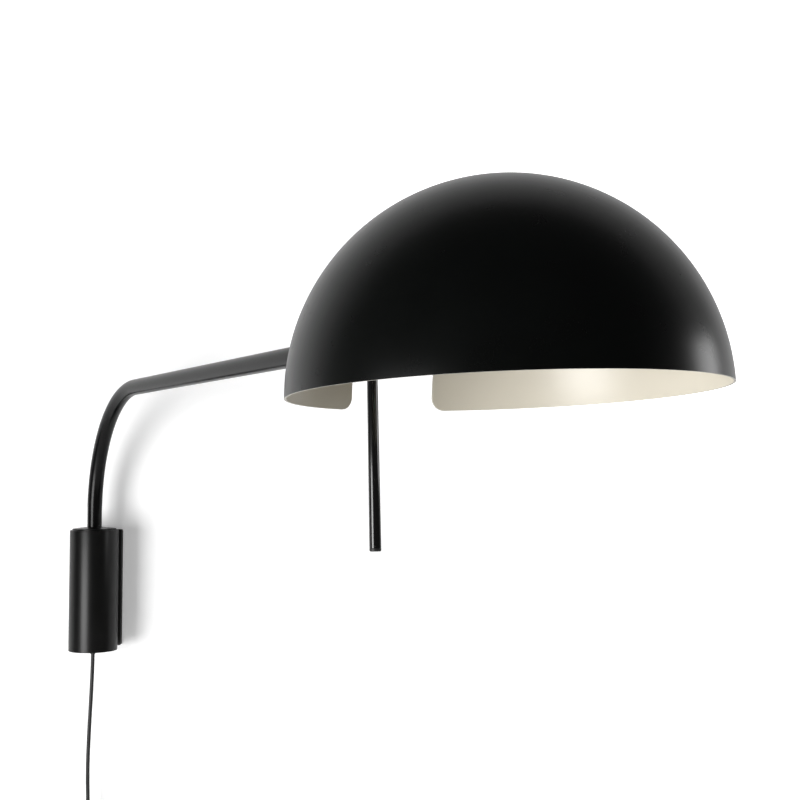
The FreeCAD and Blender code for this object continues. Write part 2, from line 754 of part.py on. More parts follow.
# ---------------------------------------------------------------- tilt knuckle and lampholder
FOOT_MIDDLE = "( bridge_leg_reach + bridge_thick / 2 + bridge_bend + bridge_foot_length / 2 )"
outward_frame = head_frame.multiply(Placement(Vector(), ALONG_X))


def make_arm_fork():
    """End fitting: a hollow plug in the tube and two flat-sided ears for the tilt pin."""
    body = new_body("arm_fork")
    plug = new_sketch(body, "YZ_Plane", "-fork_length - fork_plug_length")
    draw_circle(plug, "0", "0", "tube_bore_dia - 2 * seat_gap")
    pad(body, plug, "fork_plug_length + 1")
    ears = new_sketch(body, "YZ_Plane", "-fork_length")
    draw_circle(ears, "0", "0", "fork_dia")
    pad(body, ears, "fork_length + fork_dia / 2")
    slot = new_sketch(body, "XY_Plane")
    gap = "tongue_thick + 2 * tongue_gap"
    draw_outline(slot, [
        ("-fork_length * 0.7", "-(%s) / 2" % gap), ("fork_dia", "-(%s) / 2" % gap),
        ("fork_dia", "(%s) / 2" % gap), ("-fork_length * 0.7", "(%s) / 2" % gap),
    ])
    pocket(body, slot, "2 * fork_dia", midplane=True)
    for side in ("-", ""):
        flat = new_sketch(body, "XY_Plane")
        near = "%s(fork_dia / 2 - ear_flat)" % side
        far = "%sfork_dia" % side
        draw_outline(flat, [("-pin_head_dia", near), ("fork_dia", near), ("fork_dia", far),
                            ("-pin_head_dia", far)])
        pocket(body, flat, "2 * fork_dia", midplane=True)
    for side in ("-", ""):
        corner = new_sketch(body, "XZ_Plane")
        far = "(fork_dia / 2 + 1)"
        draw_outline(corner, [("fork_dia * 0.2", side + far), (far, side + "(fork_dia * 0.2)"),
                              (far, side + far)])
        pocket(body, corner, "2 * fork_dia", midplane=True)
    cross = new_sketch(body, "XZ_Plane")
    draw_circle(cross, "0", "0", "pin_dia + 2 * seat_gap")
    pocket(body, cross, "2 * fork_dia", midplane=True)
    bore = new_sketch(body, "YZ_Plane", "-fork_length * 0.6")
    draw_circle(bore, "0", "0", "cable_dia + 4 * cord_gap")
    pocket(body, bore, "fork_length + fork_plug_length")
    return moved(body, pin_frame)


def across_pin(y, turn):
    """Frame at the tilt pin, moved sideways, with local Z along the pin."""
    return pin_frame.multiply(Placement(Vector(0, y, 0), turn))


EAR_FACE = "( fork_dia / 2 - ear_flat )"


def make_tilt_pin():
    """Shouldered screw through both ears and the tongue; its head bears on one ear."""
    tail = EAR_FACE + " + pin_nut + thread_tail / 2"
    return moved(turned("tilt_pin", [
        ("0", "-" + EAR_FACE + " - pin_head"), ("pin_head_dia / 2", "-" + EAR_FACE + " - pin_head"),
        ("pin_head_dia / 2", "-" + EAR_FACE), ("pin_dia / 2", "-" + EAR_FACE),
        ("pin_dia / 2", tail), ("0", tail),
    ]), across_pin(0, ALONG_BACK))


def make_tilt_nut():
    nut = hex_nut("tilt_nut", "pin_nut_across_flats", "pin_dia + 2 * seat_gap", "pin_nut")
    return moved(nut, across_pin(size("fork_dia") / 2 - size("ear_flat"), ALONG_BACK))


def make_holder_cup():
    """Spun cup round the lampholder, with the knuckle's tongue on its back."""
    body = new_body("holder_cup")
    outer = "cup_dia / 2"
    inner = "cup_dia / 2 - cup_wall"
    front = "cup_start + cup_length"
    shell = new_sketch(body, "XZ_Plane")
    draw_outline(shell, [
        ("0", "cup_start"), (outer + " - 5", "cup_start"), (outer, "cup_start + 5"), (outer, front),
        (inner, front), (inner, "cup_start + cup_back"), ("0", "cup_start + cup_back"),
    ])
    revolve(body, shell)
    knuckle = new_sketch(body, "XZ_Plane")
    draw_circle(knuckle, "0", "0", "2.8 * pin_dia")
    pad(body, knuckle, "tongue_thick", midplane=True)
    tongue = new_sketch(body, "XZ_Plane")
    draw_outline(tongue, [("-1.4 * pin_dia", "0"), ("1.4 * pin_dia", "0"),
                          ("1.4 * pin_dia", "cup_start + 0.5"), ("-1.4 * pin_dia", "cup_start + 0.5")])
    pad(body, tongue, "tongue_thick", midplane=True)
    hole = new_sketch(body, "XZ_Plane")
    draw_circle(hole, "0", "0", "pin_dia + 2 * running_gap")
    pocket(body, hole, "2 * tongue_thick", midplane=True)
    screws = new_sketch(body, "YZ_Plane", "-cup_dia / 2")
    for side in ("-", "+"):
        draw_circle(screws, "0", FOOT_MIDDLE + " %s bridge_screw_pitch / 2" % side,
                    "bridge_screw_dia + 2 * seat_gap")
    pocket(body, screws, "cup_dia / 2 - holder_dia / 2", backward=True)
    return moved(body, outward_frame)


def make_lampholder():
    """Lampholder body with a threaded mouth, seated on the floor of the cup."""
    floor = "cup_start + cup_back"
    front = "cup_start + cup_back + holder_length"
    return moved(turned("lampholder", [
        ("0", floor), ("holder_dia / 2", floor), ("holder_dia / 2", front + " - holder_ring"),
        ("holder_ring_dia / 2", front + " - holder_ring"), ("holder_ring_dia / 2", front),
        ("holder_bore_dia / 2", front), ("holder_bore_dia / 2", floor + " + holder_floor"),
        ("0", floor + " + holder_floor"),
    ]), outward_frame)


CONTACT_FOOT = "( cup_start + cup_back + holder_floor )"
LAMP_FOOT = "( cup_start + cup_back + holder_floor + contact_height )"
GLASS_FOOT = "( cup_start + cup_back + holder_floor + contact_height + lamp_tip_length + lamp_cap_length )"


def make_centre_contact():
    return moved(turned("centre_contact", [
        ("0", CONTACT_FOOT), ("contact_dia / 2", CONTACT_FOOT),
        ("contact_dia / 2", LAMP_FOOT), ("0", LAMP_FOOT),
    ]), outward_frame)


def make_bulb_cap():
    """Screw cap of the lamp with its rounded end contact."""
    shell = LAMP_FOOT + " + lamp_tip_length"
    return moved(turned("bulb_cap", [
        ("0", LAMP_FOOT), ("lamp_cap_dia * 0.18", LAMP_FOOT), ("lamp_cap_dia * 0.36", shell),
        ("lamp_cap_dia / 2", shell + " + lamp_cap_length * 0.12"), ("lamp_cap_dia / 2", GLASS_FOOT),
        ("0", GLASS_FOOT),
    ]), outward_frame)


def make_bulb_glass():
    """Round bulb with a neck that swells into the ball."""
    ball = doc.addObject("Part::Sphere", "bulb_ball")
    ball.setExpression("Radius", bound("bulb_dia / 2"))
    ball.setExpression("Placement.Base.z", bound(GLASS_FOOT + " + bulb_length - bulb_dia / 2"))
    neck = doc.addObject("Part::Cone", "bulb_neck")
    neck.setExpression("Radius1", bound("bulb_neck_dia / 2"))
    neck.setExpression("Radius2", bound("bulb_dia / 2 * cos( bulb_blend * 1 deg )"))
    neck.setExpression("Height", bound("bulb_length - bulb_dia / 2 - bulb_dia / 2 * sin( bulb_blend * 1 deg )"))
    neck.setExpression("Placement.Base.z", bound(GLASS_FOOT))
    return moved(boolean("Fuse", "bulb_glass", ball, neck), outward_frame)


# ---------------------------------------------------------------- shade
shade_frame = head_frame.multiply(
    Placement(Vector(size("shade_reach"), 0, -size("shade_drop")), Rotation()))
CROWN = "( shade_radius - shade_skin )"
BRIDGE_TOP = "( shade_radius - shade_skin - bridge_drop )"


def draw_rounded(sketch, lines, radii):
    """A closed outline of straight lines, each joined to the next by a square corner's arc.

    lines holds (start, end) pairs of expression pairs; radii holds one expression per line, the
    radius of the arc after it, or None where the next line starts at its end.
    """
    for (start, end) in lines:
        index = sketch.addGeometry(Part.LineSegment(Vector(0, 0, 0), Vector(1, 1, 0)), False)
        pin_down(sketch, index, 1, *start)
        pin_down(sketch, index, 2, *end)
    doc.recompute()
    count = len(lines)
    for i, radius in enumerate(radii):
        follower = (i + 1) % count
        if radius is None:
            continue
        line = sketch.Geometry[i]
        first = line.EndPoint
        last = sketch.Geometry[follower].StartPoint
        heading = (line.EndPoint - line.StartPoint).normalize()
        chord = last - first
        turn_left = heading.cross(chord).z > 0
        middle = (first + last) * 0.5
        bow = Vector(chord.y, -chord.x, 0) * ((math.sqrt(2) - 1) / 2) * (1 if turn_left else -1)
        # a sketch counts every arc anticlockwise, so an arc of a right turn is drawn backward
        arc = Part.Arc(first, middle + bow, last) if turn_left else Part.Arc(last, middle + bow, first)
        index = sketch.addGeometry(arc, False)
        near, far = (1, 2) if turn_left else (2, 1)
        sketch.addConstraint(Sketcher.Constraint("Coincident", i, 2, index, near))
        sketch.addConstraint(Sketcher.Constraint("Coincident", follower, 1, index, far))
        constraint = sketch.addConstraint(Sketcher.Constraint("Radius", index, sketch.Geometry[index].Radius))
        sketch.setExpression("Constraints[%d]" % constraint, bound(radius))


def make_shade():
    """Spun dome, a little less than half a sphere, with a round-cornered slot for the arm."""
    body = new_body("shade")
    profile = new_sketch(body, "XZ_Plane")
    outer = size("shade_radius")
    inner = outer - size("shade_skin")
    rim = size("rim_rise")
    arcs = []
    for radius in (outer, inner):
        low = math.asin(rim / radius)
        arcs.append(profile.addGeometry(Part.ArcOfCircle(
            Part.Circle(Vector(0, 0, 0), Vector(0, 0, 1), radius), low, math.pi / 2), False))
    edge = profile.addGeometry(Part.LineSegment(Vector(inner, rim, 0), Vector(outer, rim, 0)), False)
    crown = profile.addGeometry(Part.LineSegment(Vector(0, inner, 0), Vector(0, outer, 0)), False)
    for arc, expression in zip(arcs, ("shade_radius", CROWN)):
        profile.addConstraint(Sketcher.Constraint("Coincident", arc, 3, -1, 1))
        index = profile.addConstraint(Sketcher.Constraint("Radius", arc, size("shade_radius")))
        profile.setExpression("Constraints[%d]" % index, bound(expression))
        profile.addConstraint(Sketcher.Constraint("PointOnObject", arc, 2, -2))
        index = profile.addConstraint(Sketcher.Constraint("DistanceY", -1, 1, arc, 1, rim))
        profile.setExpression("Constraints[%d]" % index, bound("rim_rise"))
    profile.addConstraint(Sketcher.Constraint("Coincident", edge, 1, arcs[1], 1))
    profile.addConstraint(Sketcher.Constraint("Coincident", edge, 2, arcs[0], 1))
    profile.addConstraint(Sketcher.Constraint("Coincident", crown, 1, arcs[1], 2))
    profile.addConstraint(Sketcher.Constraint("Coincident", crown, 2, arcs[0], 2))
    revolve(body, profile)
    half = "(slot_width / 2)"
    foot = "(rim_rise + slot_foot_corner)"
    wide = "(slot_width / 2 + slot_foot_corner)"
    past = "(slot_width / 2 + slot_foot_corner + 1)"
    shoulder = "(slot_top - slot_top_corner)"
    flat = "(slot_width / 2 - slot_top_corner)"
    slot = new_sketch(body, "YZ_Plane")
    draw_rounded(slot, [
        (("-" + half, foot), ("-" + half, shoulder)), (("-" + flat, "slot_top"), (flat, "slot_top")),
        ((half, shoulder), (half, foot)), ((wide, "rim_rise"), (past, "rim_rise")),
        ((past, "rim_rise"), (past, "-1")), ((past, "-1"), ("-" + past, "-1")),
        (("-" + past, "-1"), ("-" + past, "rim_rise")), (("-" + past, "rim_rise"), ("-" + wide, "rim_rise")),
    ], ["slot_top_corner", "slot_top_corner", "slot_foot_corner", None, None, None, None, "slot_foot_corner"])
    pocket(body, slot, "shade_radius + 5")
    return moved(body, shade_frame.multiply(Placement(Vector(), Rotation(Vector(0, 0, 1), size("shade_turn")))))


def make_crown_stud():
    """Threaded stud on a disc that is fixed to the inside of the crown."""
    seat = "sqrt( %s ^ 2 - stud_base_dia ^ 2 / 4 ) - seat_gap" % CROWN
    return moved(turned("crown_stud", [
        ("0", seat + " - stud_base - stud_length"), ("stud_dia / 2", seat + " - stud_base - stud_length"),
        ("stud_dia / 2", seat + " - stud_base"), ("stud_base_dia / 2", seat + " - stud_base"),
        ("stud_base_dia / 2", seat), ("0", seat),
    ]), shade_frame)


def make_stud_nuts():
    nut = hex_nut("stud_nut_piece", "stud_nut_across_flats", "stud_dia + 2 * seat_gap", "stud_nut")
    top = size("shade_radius") - size("shade_skin") - size("bridge_drop")
    heights = (top, top - size("bridge_thick") - size("stud_nut"))
    return copies("stud_nuts", nut, [shade_frame.multiply(Placement(Vector(0, 0, z), Rotation()))
                                     for z in heights])


def make_shade_bridge():
    """Bent strap from the top of the lampholder cup up to the stud under the crown."""
    body = new_body("shade_bridge")
    thick = "bridge_thick"
    near = "(bridge_leg_reach - bridge_thick / 2)"
    far = "(bridge_leg_reach + bridge_thick / 2)"
    foot = "(cup_dia / 2 + seat_gap)"
    toe = "(bridge_leg_reach + bridge_thick / 2 + bridge_bend + bridge_foot_length)"
    top = "( %s - shade_drop )" % BRIDGE_TOP
    tip = "(shade_reach + bridge_width / 2)"
    outer = "(bridge_bend + bridge_thick)"
    profile = new_sketch(body, "XZ_Plane")
    draw_rounded(profile, [
        ((near + " + " + outer, foot), (toe, foot)),
        ((toe, foot), (toe, foot + " + " + thick)),
        ((toe, foot + " + " + thick), (far + " + bridge_bend", foot + " + " + thick)),
        ((far, foot + " + " + thick + " + bridge_bend"), (far, top + " - " + thick + " - bridge_bend")),
        ((far + " + bridge_bend", top + " - " + thick), (tip, top + " - " + thick)),
        ((tip, top + " - " + thick), (tip, top)),
        ((tip, top), (near + " + " + outer, top)),
        ((near, top + " - " + outer), (near, foot + " + " + outer)),
    ], [None, None, "bridge_bend", "bridge_bend", None, None, outer, outer])
    pad(body, profile, "bridge_width", midplane=True)
    eye = new_sketch(body, "XY_Plane", top)
    draw_circle(eye, "shade_reach", "0", "stud_dia + 2 * hole_gap")
    pocket(body, eye, "2 * bridge_thick", midplane=True)
    holes = new_sketch(body, "XY_Plane", foot)
    for side in ("-", "+"):
        draw_circle(holes, FOOT_MIDDLE + " %s bridge_screw_pitch / 2" % side, "0",
                    "bridge_screw_dia + 2 * hole_gap")
    pocket(body, holes, "4 * bridge_thick", midplane=True)
    return moved(body, head_frame)


def make_bridge_screws():
    screw = pan_screw("bridge_screw", "bridge_screw_dia", "bridge_thick + seat_gap + cup_wall + 1",
                      "bridge_screw_head_dia", "bridge_screw_head")
    middle = (size("bridge_leg_reach") + size("bridge_thick") / 2 + size("bridge_bend")
              + size("bridge_foot_length") / 2)
    seat = size("cup_dia") / 2 + size("seat_gap") + size("bridge_thick")
    return copies("bridge_screws", screw, [
        head_frame.multiply(Placement(Vector(middle + side * size("bridge_screw_pitch") / 2, 0, seat), Rotation()))
        for side in (-1, 1)])


# ---------------------------------------------------------------- mains cord and plug
CORD_POINTS = [
    (0, -43, -74), (0, -43, -93), (-1.2, -42.6, -128), (-4.6, -39.6, -184), (-8, -32, -240),
    (-8, -24, -295), (-8, -24, -338),
]


def rounded_route(points):
    """A wire of straight runs joined by tangent arcs."""
    points = [Vector(*point) for point in points]
    edges = []
    here = points[0]
    for before, corner, after in zip(points, points[1:], points[2:]):
        arrive = (corner - before).normalize()
        leave = (after - corner).normalize()
        setback = 0.45 * min(corner.distanceToPoint(before), after.distanceToPoint(corner))
        start = corner - arrive * setback
        end = corner + leave * setback
        half_turn = math.acos(max(-1.0, min(1.0, arrive.dot(leave)))) / 2
        radius = setback / math.tan(half_turn)
        bisector = (leave - arrive).normalize()
        centre = corner + bisector * (radius / math.cos(half_turn))
        edges.append(Part.LineSegment(here, start).toShape())
        edges.append(Part.Arc(start, centre - bisector * radius, end).toShape())
        here = end
    edges.append(Part.LineSegment(here, points[-1]).toShape())
    return Part.Wire(edges)


def swept(label, wire, heading):
    """A round cord along a wire."""
    start = wire.Edges[0].firstVertex().Point
    circle = Part.Wire(Part.makeCircle(size("cord_dia") / 2, start, heading))
    feature = doc.addObject("Part::Feature", label)
    feature.Shape = wire.makePipeShell([circle], True, False)
    length = wire.Length * math.pi * size("cord_dia") ** 2 / 4
    print("%s: %.1f mm long, volume over section times length %.4f" % (
        label, wire.Length, feature.Shape.Volume / length))
    return feature


def turn_arc(start, heading, end):
    """The arc that leaves a point along a heading and reaches another point."""
    chord = end - start
    side = (chord - heading * chord.dot(heading)).normalize()
    radius = chord.Length ** 2 / (2 * chord.dot(side))
    centre = start + side * radius
    middle = centre + ((start - centre) + (end - centre)).normalize() * radius
    return Part.Arc(start, middle, end).toShape()


def coil_radii():
    """Radius of each half turn: in, out, in and out again, one layer each."""
    step = size("coil_turn_pitch") / 2
    outer = size("coil_outer_radius")
    radii = [outer - step * i for i in range(4)] + [outer - 4 * step]
    radii += [outer - step * (3 - i) for i in range(4)] + [outer + step]
    radii += [outer - step * i for i in range(4)] + [outer - 4 * step]
    radii += [outer - step * (3 - i) for i in range(4)] + [outer + step]
    climbs = (4, 9, 14)
    return radii, climbs


def coil_wire():
    """One unbroken run of half turns in a plane along the wall, piled toward the wall."""
    radii, climbs = coil_radii()
    rise = size("coil_layer_pitch")
    here = Vector(size("coil_side_x"), CORD_POINTS[-1][1], size("coil_side_z"))
    heading = Vector(0, 0, -1)
    inward = Vector(1, 0, 0)
    edges = []
    for i, radius in enumerate(radii):
        climb = rise if i in climbs else 0.0
        end = here + inward * (2 * radius) + Vector(0, climb, 0)
        top = (here + end) * 0.5 + heading * math.sqrt(radius ** 2 + climb ** 2 / 4)
        edges.append(turn_arc(here, heading, top))
        middle_heading = (end - here).normalize()
        edges.append(turn_arc(top, middle_heading, end))
        here = end
        heading = heading * -1
        inward = inward * -1
    return Part.Wire(edges)


def least_self_gap(wire):
    """Smallest distance between stretches of the coil that are not neighbours, less the cord."""
    points = []
    for edge in wire.Edges:
        points += edge.discretize(13)[:-1]
    skip = 14
    least = min(a.distanceToPoint(b) for i, a in enumerate(points) for b in points[i + skip:])
    return least - size("cord_dia")


def make_coil():
    wire = coil_wire()
    print("coil: least gap to itself %.2f mm" % least_self_gap(wire))
    return swept("mains_cord_coil", wire, Vector(0, 0, -1))


def coil_end():
    last = coil_wire().Edges[-1]
    return max((vertex.Point for vertex in last.Vertexes), key=lambda point: -point.x)


def tail_points():
    """The short lead from the coil down to the plug."""
    end = coil_end()
    length = size("tail_length")
    forward = size("plug_thick") / 2 - size("cord_dia")
    return [
        (end.x, end.y, end.z), (end.x, end.y, end.z - 0.25 * length),
        (end.x, end.y - forward, end.z - 0.6 * length), (end.x, end.y - forward, end.z - length),
    ]


def make_cord_tie():
    """Flat strap round the bundle on the side away from the free cord."""
    outer_x = size("coil_side_x") + 2 * size("coil_outer_radius")
    high = outer_x + size("cord_dia") / 2 + size("cord_gap")
    inner_radius = size("coil_outer_radius") - 2 * size("coil_turn_pitch")
    sag = size("tie_height") ** 2 / (8 * inner_radius)
    low = outer_x - 3 * size("coil_turn_pitch") - size("cord_dia") / 2 - size("cord_gap") - sag
    front = CORD_POINTS[-1][1] - size("cord_dia") / 2 - size("cord_gap")
    back = CORD_POINTS[-1][1] + 3 * size("coil_layer_pitch") + size("cord_dia") / 2 + size("cord_gap")
    skin = size("tie_thick")
    tall = size("tie_height")
    corner = Vector(low, front, size("coil_side_z") - tall / 2)
    block = Part.makeBox(high - low + 2 * skin, back - front + 2 * skin, tall, corner - Vector(skin, skin, 0))
    upright = [edge for edge in block.Edges if abs(edge.tangentAt(0).z) > 0.99]
    block = block.makeFillet(2 * skin, upright)
    hole = Part.makeBox(high - low, back - front, tall, corner)
    feature = doc.addObject("Part::Feature", "cord_tie")
    feature.Shape = block.cut(hole)
    return feature


def plug_frame():
    foot = tail_points()[-1]
    return Placement(Vector(*foot), Rotation())


def make_plug_body():
    """Flat two-pole plug: a six-sided moulding with a ribless boot round the cord."""
    body = new_body("plug_body")
    foot = "-plug_boot_length"
    outline = new_sketch(body, "XZ_Plane")
    draw_outline(outline, [
        ("-plug_nose_width * 0.32", foot), ("-plug_nose_width / 2", foot + " - 0.22 * plug_length"),
        ("-plug_width / 2", foot + " - 0.8 * plug_length"), ("-plug_width * 0.44", foot + " - plug_length"),
        ("plug_width * 0.44", foot + " - plug_length"), ("plug_width / 2", foot + " - 0.8 * plug_length"),
        ("plug_nose_width / 2", foot + " - 0.22 * plug_length"), ("plug_nose_width * 0.32", foot),
    ])
    pad(body, outline, "plug_thick", midplane=True)
    boot = new_sketch(body, "XY_Plane", foot + " - 1")
    draw_circle(boot, "0", "0", "plug_boot_dia")
    pad(body, boot, "plug_boot_length + 1")
    for side in ("-", "+"):
        bore = new_sketch(body, "XY_Plane", foot + " - plug_length")
        draw_circle(bore, side + "plug_pin_pitch / 2", "0", "plug_pin_dia + 2 * seat_gap")
        pocket(body, bore, "plug_length / 2", backward=True)
    return moved(body, plug_frame())


def make_plug_pins():
    inside = "plug_pin_dia * 2"
    pin = turned("plug_pin", [
        ("0", "-plug_pin_length"), ("plug_pin_dia * 0.3", "-plug_pin_length"),
        ("plug_pin_dia / 2", "-plug_pin_length + plug_pin_dia * 0.3"), ("plug_pin_dia / 2", inside),
        ("0", inside),
    ])
    foot = -(size("plug_boot_length") + size("plug_length"))
    return copies("plug_pins", pin, [
        plug_frame().multiply(Placement(Vector(side * size("plug_pin_pitch") / 2, 0, foot), Rotation()))
        for side in (-1, 1)])


# ---------------------------------------------------------------- build and write
def main():
    """Build every sub-part, check the document and write one STEP file per node."""
    coil = make_coil()
    parts = [
        make_wall_plate(), make_wall_strap(), make_lug_screws(), make_standoffs(), make_fixing_screws(),
        make_sleeve(), make_bearing_housing(), make_bush("upper_bush", True),
        make_bush("lower_bush", False), make_bottom_cap(), make_cord_gland(), make_gland_nut(),
        make_pivot_spigot(), make_friction_washer("upper_washer", BUSH_TOP + " + end_float"),
        make_friction_washer("lower_washer", BUSH_FOOT + " - end_float - washer_thick"),
        make_pivot_nut(), make_top_cap(), make_arm_tube(), make_arm_cable(), make_handle_collar(),
        make_handle_rod(), make_handle_stud(), make_handle_cap(), make_arm_fork(), make_tilt_pin(),
        make_tilt_nut(), make_holder_cup(), make_lampholder(), make_centre_contact(), make_bulb_cap(),
        make_bulb_glass(), make_shade(), make_crown_stud(), make_stud_nuts(), make_shade_bridge(),
        make_bridge_screws(), swept("mains_cord", rounded_route(CORD_POINTS), Vector(0, 0, -1)), coil,
        swept("cord_tail", rounded_route(tail_points()), Vector(0, 0, -1)), make_cord_tie(),
        make_plug_body(), make_plug_pins(),
    ]
    doc.recompute()
    for item in doc.Objects:
        if "Invalid" in item.State or "Error" in item.State:
            raise RuntimeError("%s did not rebuild" % item.Name)
    os.makedirs("parts", exist_ok=True)
    for part in parts:
        if part.Shape.isNull() or not part.Shape.isValid():
            raise RuntimeError("%s is not a sound solid" % part.Label)
        part.Shape.exportStep("parts/%s.step" % part.Label)
        box = part.Shape.BoundBox
        print("%-18s %2d solids %10.0f mm3  x %.1f..%.1f y %.1f..%.1f z %.1f..%.1f" % (
            part.Label, len(part.Shape.Solids), part.Shape.Volume,
            box.XMin, box.XMax, box.YMin, box.YMax, box.ZMin, box.ZMax))


main()
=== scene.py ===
"""Finishes, light and camera for the swing-arm wall light."""

import math

import bmesh
import bpy
from mathutils import Matrix, Vector


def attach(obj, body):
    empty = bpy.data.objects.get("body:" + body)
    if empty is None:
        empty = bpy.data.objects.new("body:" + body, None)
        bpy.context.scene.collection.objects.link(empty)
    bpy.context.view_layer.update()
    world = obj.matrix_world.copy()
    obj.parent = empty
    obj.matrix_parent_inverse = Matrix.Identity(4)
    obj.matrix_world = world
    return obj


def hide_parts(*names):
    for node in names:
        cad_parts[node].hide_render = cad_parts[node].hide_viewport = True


MM = 0.001
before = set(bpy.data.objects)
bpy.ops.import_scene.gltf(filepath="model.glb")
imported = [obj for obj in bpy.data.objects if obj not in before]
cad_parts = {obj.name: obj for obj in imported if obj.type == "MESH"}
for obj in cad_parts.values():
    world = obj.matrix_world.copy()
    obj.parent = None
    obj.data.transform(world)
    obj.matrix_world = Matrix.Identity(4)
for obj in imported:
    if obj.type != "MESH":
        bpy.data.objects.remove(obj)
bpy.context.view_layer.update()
scene = bpy.context.scene

# ---------------------------------------------------------------- frames, in millimetres
YAW, HANDLE_LEAN = math.radians(31.4), math.radians(1.9)
HEAD_TILT, HEAD_ROLL, SHADE_TURN = math.radians(1.9), math.radians(0.9), math.radians(1.2)
AXIS_OUT, ARM_HEIGHT, BEND, PIN_REACH, HANDLE_REACH = 43.0, 256.5, 155.0, 808.0, 728.5
SLEEVE_HALF = 78.0
SHADE_REACH, SHADE_DROP = 99.3, 58.6
TUBE_RADIUS, TUBE_NECK_RADIUS, TUBE_BORE = 9.5, 9.25, 7.5
CORD_RADIUS = 2.5
WHITE_SHEET = (0.86, 0.86, 0.86)                 # colour of the wall and the floor
NEAR_GLOW, FAR_GLOW, MIRRORED_SHARE = 0.28, 0.95, 0.25


def turn(angle, axis):
    return Matrix.Rotation(angle, 4, axis)


def shift(x, y, z):
    return Matrix.Translation((x, y, z))


BRACKET = shift(0, -AXIS_OUT, 0)
ARM = BRACKET @ turn(YAW - math.pi / 2, "Z")
HANDLE = ARM @ shift(HANDLE_REACH, 0, ARM_HEIGHT) @ turn(-HANDLE_LEAN, "Y")
HEAD = ARM @ shift(PIN_REACH, 0, ARM_HEIGHT) @ turn(HEAD_ROLL, "X") @ turn(-HEAD_TILT, "Y")
OUTWARD = HEAD @ turn(math.pi / 2, "Y")          # local Z along the lampholder
SHADE = HEAD @ shift(SHADE_REACH, 0, -SHADE_DROP) @ turn(SHADE_TURN, "Z")


# ---------------------------------------------------------------- materials
class Paint:
    """Node set-up of one finish; every part of it stays procedural."""

    def __init__(self, name, colour, rough, specular=0.5, metallic=0.0,
                 coat=0.0, coat_rough=0.1):
        self.mat = bpy.data.materials.new(name)
        self.mat.use_nodes = True
        self.nodes, self.links = self.mat.node_tree.nodes, self.mat.node_tree.links
        self.shader = self.nodes["Principled BSDF"]
        self.set("Base Color", (*colour, 1.0))
        self.set("Roughness", rough)
        self.set("Specular IOR Level", specular)
        self.set("Metallic", metallic)
        self.set("Coat Weight", coat)
        self.set("Coat Roughness", coat_rough)
        self.colour, self.rough = colour, rough
        self.place = self.nodes.new("ShaderNodeTexCoord").outputs["Object"]

    def set(self, socket, value):
        self.shader.inputs[socket].default_value = value

    def noise(self, scale, detail=3.0, roughness=0.5, stretch=None):
        """Noise over the object's own coordinates, drawn out where a stretch is given."""
        node = self.nodes.new("ShaderNodeTexNoise")
        node.inputs["Scale"].default_value = scale
        node.inputs["Detail"].default_value = detail
        node.inputs["Roughness"].default_value = roughness
        place = self.place
        if stretch:
            mapping = self.nodes.new("ShaderNodeMapping")
            mapping.inputs["Scale"].default_value = stretch
            self.links.new(place, mapping.inputs["Vector"])
            place = mapping.outputs["Vector"]
        self.links.new(place, node.inputs["Vector"])
        return node.outputs["Fac"]

    def ramp(self, source, low, high, start=0.3, stop=0.7):
        """Colours between two stops, driven by a noise."""
        node = self.nodes.new("ShaderNodeValToRGB")
        first, last = node.color_ramp.elements
        first.position, last.position = start, stop
        first.color, last.color = (*low, 1.0), (*high, 1.0)
        self.links.new(source, node.inputs["Fac"])
        return node.outputs["Color"]

    def mottle(self, scale, spread):
        """Slow drift of the colour, a share of it up and down."""
        low = [c * (1 - spread) for c in self.colour]
        high = [min(1.0, c * (1 + spread)) for c in self.colour]
        colour = self.ramp(self.noise(scale), low, high)
        self.links.new(colour, self.shader.inputs["Base Color"])
        return self

    def wear(self, scale, spread, stretch=None):
        """Uneven gloss, a spread of roughness up and down."""
        node = self.nodes.new("ShaderNodeMapRange")
        self.links.new(self.noise(scale, 4.0, 0.6, stretch), node.inputs["Value"])
        node.inputs["To Min"].default_value = self.rough - spread
        node.inputs["To Max"].default_value = self.rough + spread
        self.links.new(node.outputs["Result"], self.shader.inputs["Roughness"])
        return self

    def grain(self, scale, depth, stretch=None):
        """Fine relief, depth in millimetres."""
        bump = self.nodes.new("ShaderNodeBump")
        bump.inputs["Distance"].default_value = depth * MM
        bump.inputs["Strength"].default_value = 1.0
        self.links.new(self.noise(scale, 2.0, 0.5, stretch), bump.inputs["Height"])
        self.links.new(bump.outputs["Normal"], self.shader.inputs["Normal"])
        return self


black_paint = (Paint("black_paint", (0.0035, 0.0035, 0.0034), 0.31, 0.22)
               .wear(60, 0.02).grain(900, 0.012).mottle(30, 0.2).mat)
# Painted light: the plate's black is lighter than the other black paint, standing in for light from
# the right that no lamp gives the plate
plate_black_painted_lit = (Paint("plate_black_painted_lit", (0.022, 0.022, 0.0215), 0.45, 0.4)
               .wear(60, 0.03).grain(900, 0.012).mottle(30, 0.1).mat)
shade_black = (Paint("shade_black", (0.0022, 0.0026, 0.0024), 0.28, 0.15)
               .wear(40, 0.02).grain(900, 0.010).mottle(20, 0.2).mat)
tube_black = (Paint("tube_black", (0.0030, 0.0030, 0.0030), 0.22, 0.16)
              .wear(60, 0.03).grain(900, 0.006).mottle(30, 0.2).mat)
cream_paint = (Paint("cream_paint", (0.62, 0.58, 0.49), 0.35, 0.55)
               .wear(35, 0.04).grain(700, 0.012).mottle(14, 0.02).mat)
rim_paint = (Paint("rim_paint", (0.42, 0.40, 0.35), 0.40, 0.5)
             .wear(90, 0.06).grain(900, 0.01).mottle(60, 0.12).mat)
gloss_black = (Paint("gloss_black", (0.0030, 0.0030, 0.0030), 0.16, 0.35, coat=0.2, coat_rough=0.08)
               .wear(50, 0.02).grain(350, 0.003).mottle(40, 0.2).mat)
moulded = (Paint("moulded_black", (0.012, 0.012, 0.012), 0.48, 0.4)
           .wear(120, 0.06).grain(1500, 0.03).mottle(60, 0.15).mat)
